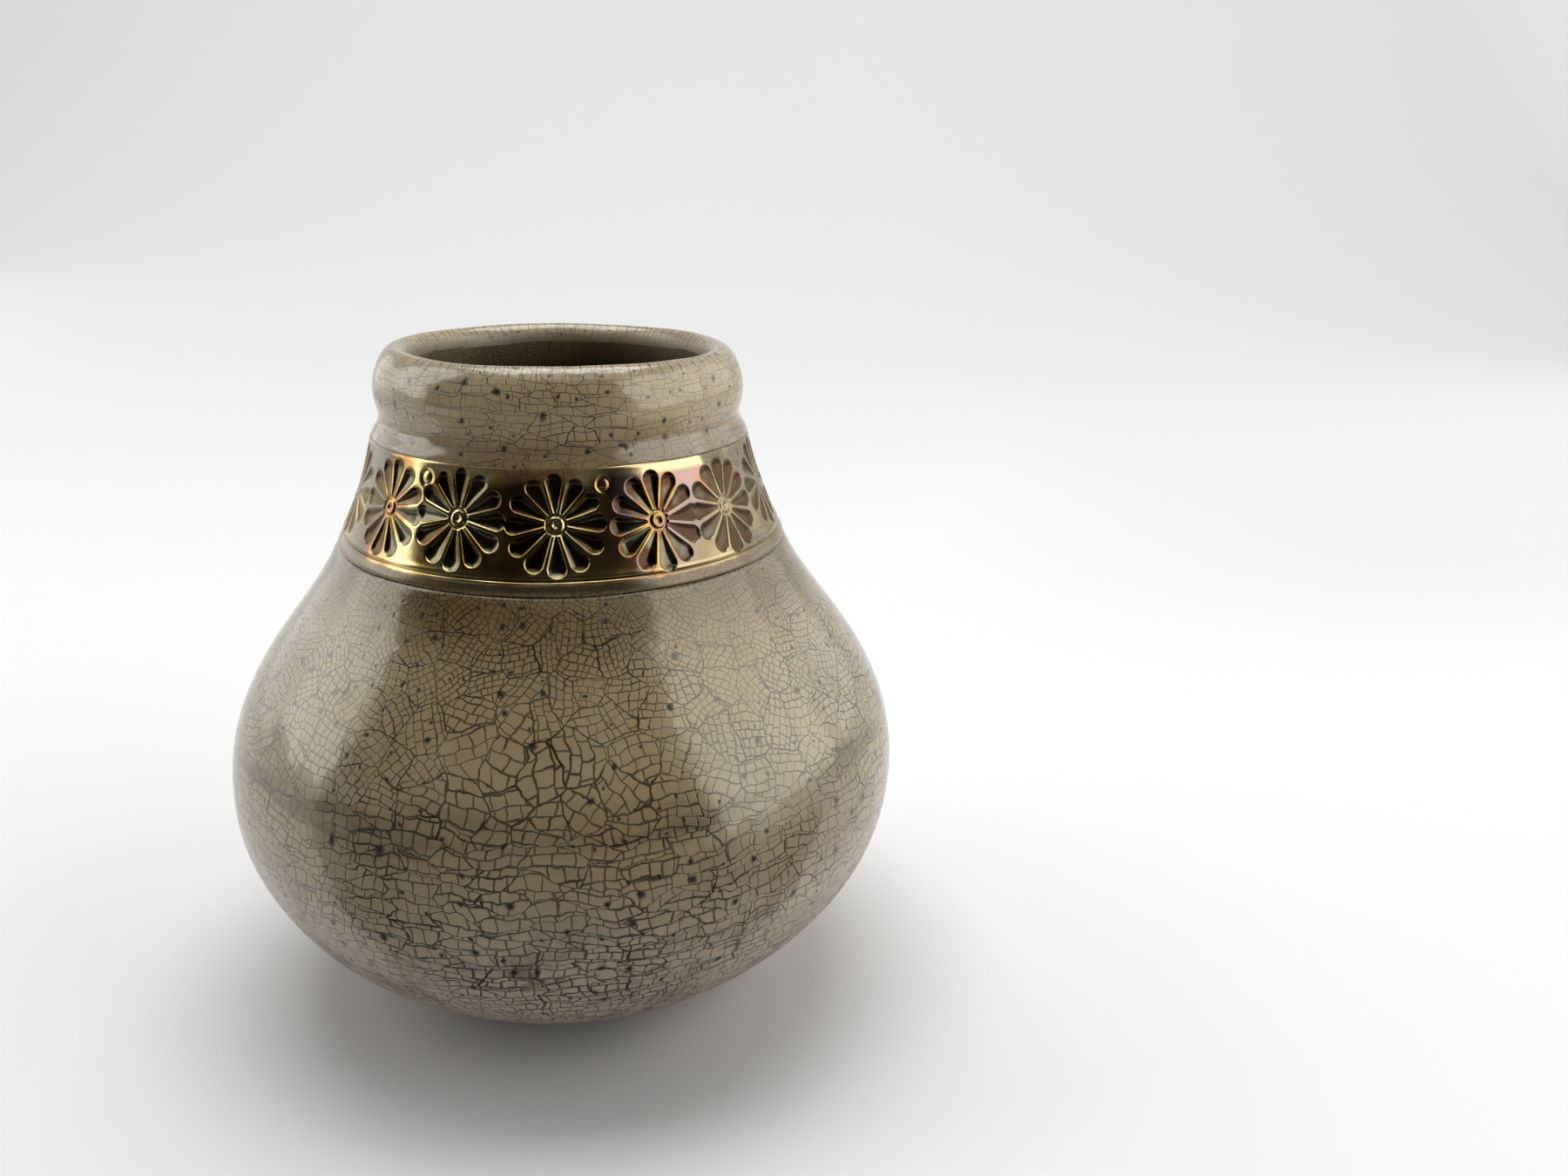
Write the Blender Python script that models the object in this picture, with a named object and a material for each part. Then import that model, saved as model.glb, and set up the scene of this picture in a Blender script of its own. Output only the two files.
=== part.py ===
"""Ceramic mate cup: a hand-thrown gourd body with a stamped daisy band round its neck.

The cup is built as a potter builds it from leather-hard pieces. The belly and the shoulder are
two thrown sections, luted on a bevelled seam. The shoulder ends in a tapered spigot that carries
the border fillet, the daisy band and the collar bead, stacked one on another. The rim roll laps
over the end of the spigot and closes the stack, and the foot ring is keyed into the underside.

Units are metres, +Z is up, and the origin is the middle of the foot, on the table.
"""

import math

import bmesh
import bpy
from mathutils import Vector

MM = 0.001

# Layer of slip in every luted joint
SLIP_GAP = 0.3 * MM

# Foot ring
FOOT_OUTER_RADIUS = 18.2 * MM
FOOT_INNER_RADIUS = 13.6 * MM
FOOT_HEIGHT = 2.5 * MM
FOOT_EDGE = 0.4 * MM
FOOT_SEAT_DEPTH = 0.8 * MM
FOOT_LAND = 0.7 * MM

# Belly
BELLY_RADIUS = 45.0 * MM
BELLY_HEIGHT = 30.5 * MM
WALL = 5.0 * MM
FLOOR = 6.0 * MM
FLOOR_RADIUS = 17.0 * MM
SEAM_DROP = 1.5 * MM
UNDERSIDE_FOOT_HANDLE = 8.0 * MM
UNDERSIDE_BELLY_HANDLE = 16.5 * MM

# Shoulder
NECK_RADIUS = 29.2 * MM
NECK_HEIGHT = 62.4 * MM
SHOULDER_BELLY_HANDLE = 15.3 * MM
SHOULDER_NECK_HANDLE = 10.4 * MM
SHOULDER_NECK_FLARE = 0.43
INNER_BELLY_HANDLE = 13.0 * MM

# Border fillet
FILLET_HEIGHT = 1.4 * MM
FILLET_TAPER = 0.7 * MM
FILLET_BULGE = 0.3 * MM

# Daisy band
BAND_HEIGHT = 11.9 * MM
BAND_TAPER = 4.3 * MM
BAND_THICKNESS = 1.8 * MM
BAND_HOLLOW = 0.42 * MM
DAISY_COUNT = 14
FIRST_DAISY_ANGLE = math.radians(-92.7)
DAISY_MARGIN = 0.25 * MM
PETALS_PER_QUARTER = 3
PETAL_DEPTH = 0.6 * MM
PETAL_TIP_LENGTH = 1.3 * MM
PETAL_FLOOR_SHARE = 0.55
PETAL_ROOT_RADIUS = 2.0 * MM
PETAL_ROOT_DEPTH = 0.25 * MM
BUTTON_RADIUS = 0.9 * MM
BUTTON_GROOVE_RADIUS = 1.4 * MM
BUTTON_GROOVE_DEPTH = 0.45 * MM

# Collar bead
COLLAR_HEIGHT = 1.9 * MM
COLLAR_TAPER = 1.3 * MM
COLLAR_BULGE = 0.5 * MM

# Rim roll
RIM_HEIGHT = 8.6 * MM
RIM_WIDTH = 5.55 * MM
RIM_OVERHANG = 0.65 * MM
RIM_WIDEST_HEIGHT = 3.3 * MM
RIM_CREST_INSET = 2.6 * MM
RIM_LAP = 1.2 * MM
BORE_STEP = 0.3 * MM
RIM_SIDE_HANDLE = 3.0 * MM
RIM_CREST_HANDLE = 1.3 * MM

# Fineness of the turned and curved surfaces
TURN_STEPS = 56
BODY_STEPS = 8
BEAD_STEPS = 4
WELD_DISTANCE = 0.005 * MM
SHARP_ANGLE = math.radians(32.0)

# Heights of the joints, from the table up
UNDERSIDE_Z = FOOT_HEIGHT + SLIP_GAP - FOOT_SEAT_DEPTH
FLOOR_Z = UNDERSIDE_Z + FLOOR
FILLET_Z = NECK_HEIGHT + SLIP_GAP
BAND_Z = FILLET_Z + FILLET_HEIGHT + SLIP_GAP
COLLAR_Z = BAND_Z + BAND_HEIGHT + SLIP_GAP
RIM_Z = COLLAR_Z + COLLAR_HEIGHT + SLIP_GAP
SPIGOT_TOP_Z = RIM_Z + RIM_LAP

# Radii up the neck, each from the one below it
BAND_BOTTOM_RADIUS = NECK_RADIUS - FILLET_TAPER
BAND_TOP_RADIUS = BAND_BOTTOM_RADIUS - BAND_TAPER
GROOVE_RADIUS = BAND_TOP_RADIUS - COLLAR_TAPER
RIM_RADIUS = GROOVE_RADIUS + RIM_OVERHANG
MOUTH_RADIUS = RIM_RADIUS - RIM_WIDTH
RIM_CREST_RADIUS = MOUTH_RADIUS + RIM_CREST_INSET
NECK_BORE_RADIUS = MOUTH_RADIUS + BORE_STEP


def clear_scene():
    """Remove every object that the file opens with."""
    for item in list(bpy.data.objects):
        bpy.data.objects.remove(item, do_unlink=True)


def finish(name, colour, roughness, metallic=0.0):
    """Make one Principled material."""
    material = bpy.data.materials.new(name)
    material.use_nodes = True
    shader = material.node_tree.nodes["Principled BSDF"]
    shader.inputs["Base Color"].default_value = (*colour, 1.0)
    shader.inputs["Roughness"].default_value = roughness
    shader.inputs["Metallic"].default_value = metallic
    return material


def bezier(start, start_handle, end_handle, end, steps):
    """Points along a cubic curve in the (radius, height) plane, both ends included."""
    points = []
    for step in range(steps + 1):
        t = step / steps
        weights = ((1 - t) ** 3, 3 * t * (1 - t) ** 2, 3 * t * t * (1 - t), t ** 3)
        corners = (start, start_handle, end_handle, end)
        radius = sum(w * corner[0] for w, corner in zip(weights, corners))
        height = sum(w * corner[1] for w, corner in zip(weights, corners))
        points.append((radius, height))
    return points


def bulged(start, end, bulge, steps):
    """Points along a rounded bead side that stands out between two points."""
    (start_radius, start_z), (end_radius, end_z) = start, end
    start_handle = (start_radius + bulge, start_z + (end_z - start_z) * 0.25)
    end_handle = (end_radius + bulge, start_z + (end_z - start_z) * 0.75)
    return bezier(start, start_handle, end_handle, end, steps)


def place(name, bm, material):
    """Weld a shape, face it outwards and put it in the scene as one named object."""
    bmesh.ops.remove_doubles(bm, verts=bm.verts, dist=WELD_DISTANCE)
    bmesh.ops.recalc_face_normals(bm, faces=bm.faces)
    mesh = bpy.data.meshes.new(name)
    bm.to_mesh(mesh)
    bm.free()
    mesh.shade_smooth()
    mesh.set_sharp_from_angle(angle=SHARP_ANGLE)
    mesh.materials.append(material)
    piece = bpy.data.objects.new(name, mesh)
    bpy.context.collection.objects.link(piece)
    return piece


def turned(name, outline, material, closed=True):
    """Turn an outline of (radius, height) points once round the Z axis.

    A closed outline gives a ring. An open one starts and ends on the axis.
    """
    bm = bmesh.new()
    verts = [bm.verts.new((radius, 0.0, height)) for radius, height in outline]
    pairs = list(zip(verts, verts[1:]))
    if closed:
        pairs.append((verts[-1], verts[0]))
    edges = [bm.edges.new(pair) for pair in pairs]
    bmesh.ops.spin(
        bm,
        geom=verts + edges,
        cent=(0.0, 0.0, 0.0),
        axis=(0.0, 0.0, 1.0),
        angle=2 * math.pi,
        steps=TURN_STEPS,
        use_merge=True,
    )
    return place(name, bm, material)


def seat_radius(height):
    """Inner radius, at a height, of the pieces that sit on the tapered spigot."""
    share = (height - BAND_Z) / BAND_HEIGHT
    return BAND_BOTTOM_RADIUS + (BAND_TOP_RADIUS - BAND_BOTTOM_RADIUS) * share - BAND_THICKNESS


def spigot_radius(height):
    """Outer radius of the spigot at a height, one layer of slip inside its pieces."""
    return seat_radius(height) - SLIP_GAP


def make_foot_ring(material):
    """Bare clay ring with eased lower edges, keyed into the underside."""
    outline = [
        (FOOT_OUTER_RADIUS, FOOT_HEIGHT),
        (FOOT_OUTER_RADIUS, FOOT_EDGE),
        (FOOT_OUTER_RADIUS - FOOT_EDGE, 0.0),
        (FOOT_INNER_RADIUS + FOOT_EDGE, 0.0),
        (FOOT_INNER_RADIUS, FOOT_EDGE),
        (FOOT_INNER_RADIUS, FOOT_HEIGHT),
    ]
    return turned("foot_ring", outline, material)


def make_belly(material):
    """Thrown lower bowl, from the foot seat up to the bevelled seam at its widest line."""
    seat_outer = FOOT_OUTER_RADIUS + SLIP_GAP
    seat_inner = FOOT_INNER_RADIUS - SLIP_GAP
    seat_z = UNDERSIDE_Z + FOOT_SEAT_DEPTH
    underside_radius = seat_outer + FOOT_LAND
    seam_radius = BELLY_RADIUS - WALL
    seam_z = BELLY_HEIGHT - SEAM_DROP
    outside = bezier(
        (underside_radius, UNDERSIDE_Z),
        (underside_radius + UNDERSIDE_FOOT_HANDLE, UNDERSIDE_Z),
        (BELLY_RADIUS, BELLY_HEIGHT - UNDERSIDE_BELLY_HANDLE),
        (BELLY_RADIUS, BELLY_HEIGHT),
        BODY_STEPS,
    )
    inside = bezier(
        (seam_radius, seam_z),
        (seam_radius, seam_z - UNDERSIDE_BELLY_HANDLE + WALL),
        (FLOOR_RADIUS + UNDERSIDE_FOOT_HANDLE, FLOOR_Z),
        (FLOOR_RADIUS, FLOOR_Z),
        BODY_STEPS,
    )
    seat = [
        (0.0, UNDERSIDE_Z),
        (seat_inner, UNDERSIDE_Z),
        (seat_inner, seat_z),
        (seat_outer, seat_z),
        (seat_outer, UNDERSIDE_Z),
    ]
    return turned("belly", seat + outside + inside + [(0.0, FLOOR_Z)], material, closed=False)


def make_shoulder(material):
    """Thrown upper section, which closes in to a ledge and the tapered spigot of the neck."""
    seam_radius = BELLY_RADIUS - WALL
    bore_radius = NECK_RADIUS - WALL
    neck_handle_z = NECK_HEIGHT - SHOULDER_NECK_HANDLE
    flare = SHOULDER_NECK_FLARE * SHOULDER_NECK_HANDLE
    seam_z = BELLY_HEIGHT + SLIP_GAP
    inner_seam_z = seam_z - SEAM_DROP
    outside = bezier(
        (BELLY_RADIUS, seam_z),
        (BELLY_RADIUS, seam_z + SHOULDER_BELLY_HANDLE),
        (NECK_RADIUS + flare, neck_handle_z),
        (NECK_RADIUS, NECK_HEIGHT),
        BODY_STEPS,
    )
    inside = bezier(
        (bore_radius, NECK_HEIGHT),
        (bore_radius + flare, neck_handle_z),
        (seam_radius, inner_seam_z + INNER_BELLY_HANDLE),
        (seam_radius, inner_seam_z),
        BODY_STEPS,
    )
    spigot = [
        (spigot_radius(NECK_HEIGHT), NECK_HEIGHT),
        (spigot_radius(SPIGOT_TOP_Z), SPIGOT_TOP_Z),
        (NECK_BORE_RADIUS, SPIGOT_TOP_Z),
    ]
    return turned("shoulder", outside + spigot + inside, material)


def make_border_fillet(material):
    """Thin plain coil on the shoulder's ledge, under the daisies."""
    top_z = FILLET_Z + FILLET_HEIGHT
    side = bulged((NECK_RADIUS, FILLET_Z), (BAND_BOTTOM_RADIUS, top_z), FILLET_BULGE, BEAD_STEPS)
    outline = side + [(seat_radius(top_z), top_z), (seat_radius(FILLET_Z), FILLET_Z)]
    return turned("border_fillet", outline, material)


def make_collar_bead(material):
    """Plain rounded coil above the daisies, which falls back to the groove under the rim."""
    top_z = COLLAR_Z + COLLAR_HEIGHT
    side = bulged((BAND_TOP_RADIUS, COLLAR_Z), (GROOVE_RADIUS, top_z), COLLAR_BULGE, BEAD_STEPS)
    outline = side + [(seat_radius(top_z), top_z), (seat_radius(COLLAR_Z), COLLAR_Z)]
    return turned("collar_bead", outline, material)


def make_rim_roll(material):
    """Thick rolled lip, with a rebate underneath that laps over the end of the spigot."""
    widest_z = RIM_Z + RIM_WIDEST_HEIGHT
    top_z = RIM_Z + RIM_HEIGHT
    crest = (RIM_CREST_RADIUS, top_z)
    rebate_z = SPIGOT_TOP_Z + SLIP_GAP
    lower = bezier(
        (GROOVE_RADIUS, RIM_Z),
        (GROOVE_RADIUS, RIM_Z + RIM_WIDEST_HEIGHT / 3),
        (RIM_RADIUS, widest_z - RIM_WIDEST_HEIGHT / 3),
        (RIM_RADIUS, widest_z),
        BEAD_STEPS - 1,
    )
    outer = bezier(
        (RIM_RADIUS, widest_z),
        (RIM_RADIUS, widest_z + RIM_SIDE_HANDLE),
        (RIM_CREST_RADIUS + RIM_CREST_HANDLE, top_z),
        crest,
        BEAD_STEPS + 1,
    )
    inner = bezier(
        crest,
        (RIM_CREST_RADIUS - RIM_CREST_HANDLE, top_z),
        (MOUTH_RADIUS, widest_z + RIM_SIDE_HANDLE),
        (MOUTH_RADIUS, widest_z),
        BEAD_STEPS,
    )
    rebate = [
        (NECK_BORE_RADIUS, rebate_z),
        (seat_radius(rebate_z), rebate_z),
        (seat_radius(RIM_Z), RIM_Z),
    ]
    return turned("rim_roll", lower + outer[1:] + inner[1:] + rebate, material)


def band_face(angle, share, depth):
    """Point on the band's face, or below it.

    The angle is round the neck, the share runs from 0 at the band's lower edge to 1 at its upper
    edge, and the depth is square to the face, which is slightly hollow from edge to edge.
    """
    rise = BAND_TOP_RADIUS - BAND_BOTTOM_RADIUS
    radius = BAND_BOTTOM_RADIUS + rise * share - 4 * BAND_HOLLOW * share * (1 - share)
    slope = rise - 4 * BAND_HOLLOW * (1 - 2 * share)
    normal = Vector((BAND_HEIGHT, -slope)).normalized()
    radius -= depth * normal.x
    height = BAND_Z + BAND_HEIGHT * share - depth * normal.y
    return (radius * math.cos(angle), radius * math.sin(angle), height)


def petal_spokes():
    """Angles of the spokes of one daisy, each with 1 on a petal's floor or 0 on a ridge.

    A ridge stands on each diagonal, so that the spokes reach the corners of the daisy's cell.
    """
    count = 4 * PETALS_PER_QUARTER
    pitch = 2 * math.pi / count
    spokes = []
    for petal in range(count):
        ridge = math.pi / 4 + petal * pitch
        floor_half = PETAL_FLOOR_SHARE * pitch / 2
        spokes.append((ridge, 0))
        spokes.append((ridge + pitch / 2 - floor_half, 1))
        spokes.append((ridge + pitch / 2 + floor_half, 1))
    return spokes


def daisy_relief(half_width, half_height):
    """Rings of points across one daisy's cell, from its button out to its square edge.

    Each point is a distance round the neck, a distance up the strip and a depth.
    """
    wide = half_width - DAISY_MARGIN
    tall = half_height - DAISY_MARGIN
    rings = [
        (BUTTON_RADIUS, BUTTON_RADIUS, 0.0, 0.0),
        (BUTTON_GROOVE_RADIUS, BUTTON_GROOVE_RADIUS, BUTTON_GROOVE_DEPTH, BUTTON_GROOVE_DEPTH),
        (PETAL_ROOT_RADIUS, PETAL_ROOT_RADIUS, PETAL_ROOT_DEPTH, 0.0),
        (wide - PETAL_TIP_LENGTH, tall - PETAL_TIP_LENGTH, PETAL_DEPTH, 0.0),
        (wide, tall, 0.0, 0.0),
    ]
    spokes = petal_spokes()
    relief = []
    for across, up, floor_depth, ridge_depth in rings:
        relief.append([
            (across * math.cos(angle), up * math.sin(angle), floor_depth if floor else ridge_depth)
            for angle, floor in spokes
        ])
    edge = []
    for angle, _ in spokes:
        reach = 1 / max(abs(math.cos(angle)), abs(math.sin(angle)))
        edge.append((half_width * math.cos(angle) * reach, half_height * math.sin(angle) * reach, 0.0))
    relief.append(edge)
    return relief


def make_daisy_band(material):
    """Clay strip wrapped round the spigot, with a ring of daisies stamped into its face."""
    middle_radius = (BAND_BOTTOM_RADIUS + BAND_TOP_RADIUS) / 2 - BAND_HOLLOW
    half_width = math.pi * middle_radius / DAISY_COUNT
    half_height = math.hypot(BAND_HEIGHT, BAND_BOTTOM_RADIUS - BAND_TOP_RADIUS) / 2
    relief = daisy_relief(half_width, half_height)
    bm = bmesh.new()

    def add_face(*points):
        bm.faces.new([bm.verts.new(point) for point in points])

    def back_point(angle, height):
        radius = seat_radius(height)
        return (radius * math.cos(angle), radius * math.sin(angle), height)

    top_z = BAND_Z + BAND_HEIGHT
    for daisy in range(DAISY_COUNT):
        centre = FIRST_DAISY_ANGLE + daisy * 2 * math.pi / DAISY_COUNT
        rings = [
            [band_face(centre + x / middle_radius, (y / half_height + 1) / 2, depth) for x, y, depth in ring]
            for ring in relief
        ]
        button = band_face(centre, 0.5, 0.0)
        edge = relief[-1]
        for this in range(len(edge)):
            after = (this + 1) % len(edge)
            add_face(button, rings[0][this], rings[0][after])
            for ring, outer in zip(rings, rings[1:]):
                add_face(ring[this], outer[this], outer[after], ring[after])
            angles = [centre + edge[spoke][0] / middle_radius for spoke in (this, after)]
            rise = min(edge[this][1], edge[after][1])
            fall = max(edge[this][1], edge[after][1])
            on_top = rise > half_height - WELD_DISTANCE
            if on_top or fall < WELD_DISTANCE - half_height:
                height = top_z if on_top else BAND_Z
                backs = [back_point(angle, height) for angle in angles]
                add_face(rings[-1][this], rings[-1][after], backs[1], backs[0])
            if on_top:
                feet = [back_point(angle, BAND_Z) for angle in angles]
                add_face(backs[0], backs[1], feet[1], feet[0])
    return place("daisy_band", bm, material)


def main():
    """Make the cup's pieces from the foot up."""
    clear_scene()
    make_foot_ring(finish("bare_clay", (0.13, 0.11, 0.10), 0.90))
    make_belly(finish("crackle_glaze_belly", (0.40, 0.36, 0.29), 0.22))
    make_shoulder(finish("crackle_glaze_shoulder", (0.42, 0.38, 0.30), 0.20))
    make_border_fillet(finish("crackle_glaze_fillet", (0.40, 0.35, 0.27), 0.20))
    make_daisy_band(finish("gold_lustre", (0.50, 0.33, 0.15), 0.22, metallic=0.9))
    make_collar_bead(finish("crackle_glaze_collar", (0.42, 0.38, 0.30), 0.20))
    make_rim_roll(finish("crackle_glaze_rim", (0.44, 0.40, 0.32), 0.20))


main()
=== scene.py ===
"""Looks of the raku mate cup: crackle glaze, a lustred band of stamped daisies and a bare foot.

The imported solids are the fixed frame. Each visible piece is modelled again over its solids with a
finer surface, takes its heights and radii from their boxes, and gets a finish made of shader nodes.
Lengths are in millimetres, apart from those of the studio, which are in metres.
"""

import logging
import math
from dataclasses import dataclass, field
from enum import Enum
from functools import cached_property

import bpy
import numpy as np
from mathutils import Matrix, Vector


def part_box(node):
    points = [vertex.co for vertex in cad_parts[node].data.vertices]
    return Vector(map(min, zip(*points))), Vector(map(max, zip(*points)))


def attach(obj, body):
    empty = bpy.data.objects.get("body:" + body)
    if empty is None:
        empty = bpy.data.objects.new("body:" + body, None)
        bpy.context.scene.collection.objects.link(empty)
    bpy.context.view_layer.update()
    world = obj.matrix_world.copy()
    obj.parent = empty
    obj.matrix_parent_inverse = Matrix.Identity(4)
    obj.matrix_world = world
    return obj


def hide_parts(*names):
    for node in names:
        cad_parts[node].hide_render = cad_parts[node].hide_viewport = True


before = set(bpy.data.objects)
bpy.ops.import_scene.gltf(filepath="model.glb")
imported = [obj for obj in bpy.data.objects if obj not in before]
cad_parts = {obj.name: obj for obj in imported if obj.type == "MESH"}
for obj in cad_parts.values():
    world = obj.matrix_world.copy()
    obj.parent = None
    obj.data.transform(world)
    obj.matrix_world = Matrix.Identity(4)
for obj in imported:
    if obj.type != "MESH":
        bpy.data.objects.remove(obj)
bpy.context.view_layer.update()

MM = 0.001
BODY = "root"
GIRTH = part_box("belly")[1][0] / MM
WELD = 0.001 * MM

Outline = list[tuple[float, float]]
Point = tuple[float, float, float]
Colour = tuple[float, float, float]
Span = tuple[float, float]

log = logging.getLogger("mate_cup")


class Slot(Enum):
    """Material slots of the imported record."""

    GLAZE = "crackle_glaze"
    LUSTRE = "daisy_lustre"
    CLAY = "bare_clay"


class Wire:
    """A shader socket that arithmetic can be written on."""

    def __init__(self, nodes: "Nodes", socket: bpy.types.NodeSocket) -> None:
        """Hold one output socket of a tree."""
        self.nodes = nodes
        self.socket = socket

    def __add__(self, other: "Wire | float") -> "Wire":
        """Add a value."""
        return self.nodes.maths("ADD", self, other)

    __radd__ = __add__

    def __mul__(self, other: "Wire | float") -> "Wire":
        """Multiply by a value."""
        return self.nodes.maths("MULTIPLY", self, other)

    __rmul__ = __mul__

    def __sub__(self, other: "Wire | float") -> "Wire":
        """Take a value away."""
        return self.nodes.maths("SUBTRACT", self, other)

    def __rsub__(self, other: "Wire | float") -> "Wire":
        """Take this away from a value."""
        return self.nodes.maths("SUBTRACT", other, self)

    def __truediv__(self, other: "Wire | float") -> "Wire":
        """Divide by a value."""
        return self.nodes.maths("DIVIDE", self, other)

    def __rtruediv__(self, other: "Wire | float") -> "Wire":
        """Divide a value by this."""
        return self.nodes.maths("DIVIDE", other, self)

    def larger(self, other: "Wire | float") -> "Wire":
        """The larger of this and another value."""
        return self.nodes.maths("MAXIMUM", self, other)

    def smaller(self, other: "Wire | float") -> "Wire":
        """The smaller of this and another value."""
        return self.nodes.maths("MINIMUM", self, other)

    def size(self) -> "Wire":
        """The value without its sign."""
        return self.nodes.maths("ABSOLUTE", self)

    def rise(self, low: "Wire | float", high: "Wire | float") -> "Wire":
        """A smooth step from 0 at low to 1 at high, where low may be the larger.

        Args:
            low: value at which the step starts.
            high: value at which the step ends.

        Returns:
            The step, held between 0 and 1.
        """
        node = self.nodes.node(
            "ShaderNodeMapRange",
            {"interpolation_type": "SMOOTHSTEP"},
            {"Value": self, "From Min": low, "From Max": high, "To Min": 0.0, "To Max": 1.0},
        )
        return self.nodes.wire(node, "Result")

    def between(self, low: float, high: float) -> "Wire":
        """Low where this is 0 and high where it is 1."""
        return low + (high - low) * self


class Nodes:
    """A node tree that is written as expressions."""

    def __init__(self, tree: bpy.types.NodeTree) -> None:
        """Take over a tree and empty it."""
        self.tree = tree
        self.tree.nodes.clear()

    def feed(self, socket: bpy.types.NodeSocket, value: Wire | float | tuple) -> None:
        """Link a wire to a socket, or set the socket's own value.

        Args:
            socket: an input socket.
            value: a wire, a number, a vector or a colour with its alpha.
        """
        if isinstance(value, Wire):
            self.tree.links.new(value.socket, socket)
        else:
            socket.default_value = value

    def node(
        self, kind: str, settings: dict | None = None, inputs: dict | None = None
    ) -> bpy.types.Node:
        """Add a node, with its settings first and then its sockets.

        Args:
            kind: the node's type.
            settings: attributes to set, with a ramp's stops under "stops".
            inputs: socket names or numbers, each with a value or a wire.

        Returns:
            The new node.
        """
        node = self.tree.nodes.new(kind)
        for key, value in (settings or {}).items():
            if key == "stops":
                self._set_stops(node.color_ramp, value)
            else:
                setattr(node, key, value)
        for key, value in (inputs or {}).items():
            self.feed(node.inputs[key], value)
        return node

    @staticmethod
    def _set_stops(ramp: bpy.types.ColorRamp, stops: tuple[tuple[float, Colour], ...]) -> None:
        """Give a colour ramp its stops.

        Args:
            ramp: the ramp of a new node.
            stops: places from 0 to 1, each with a colour.
        """
        while len(ramp.elements) < len(stops):
            ramp.elements.new(1.0)
        for element, (position, colour) in zip(ramp.elements, stops):
            element.position = position
            element.color = (*colour, 1.0)

    def wire(self, node: bpy.types.Node, output: str | int) -> Wire:
        """One output of a node, as a wire."""
        return Wire(self, node.outputs[output])

    def maths(self, operation: str, *values: Wire | float) -> Wire:
        """A Math node on up to three values."""
        node = self.node("ShaderNodeMath", {"operation": operation}, dict(enumerate(values)))
        return self.wire(node, "Value")

    def seen(self) -> Wire:
        """Tell apart what is seen, straight or in a reflection, from what only lights.

        Returns:
            1 for camera, glossy and transmission rays, and 0 for the others.
        """
        path = self.node("ShaderNodeLightPath")
        seen = self.wire(path, "Is Camera Ray")
        for other in ("Is Glossy Ray", "Is Transmission Ray"):
            seen = seen.larger(self.wire(path, other))
        return seen


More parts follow.
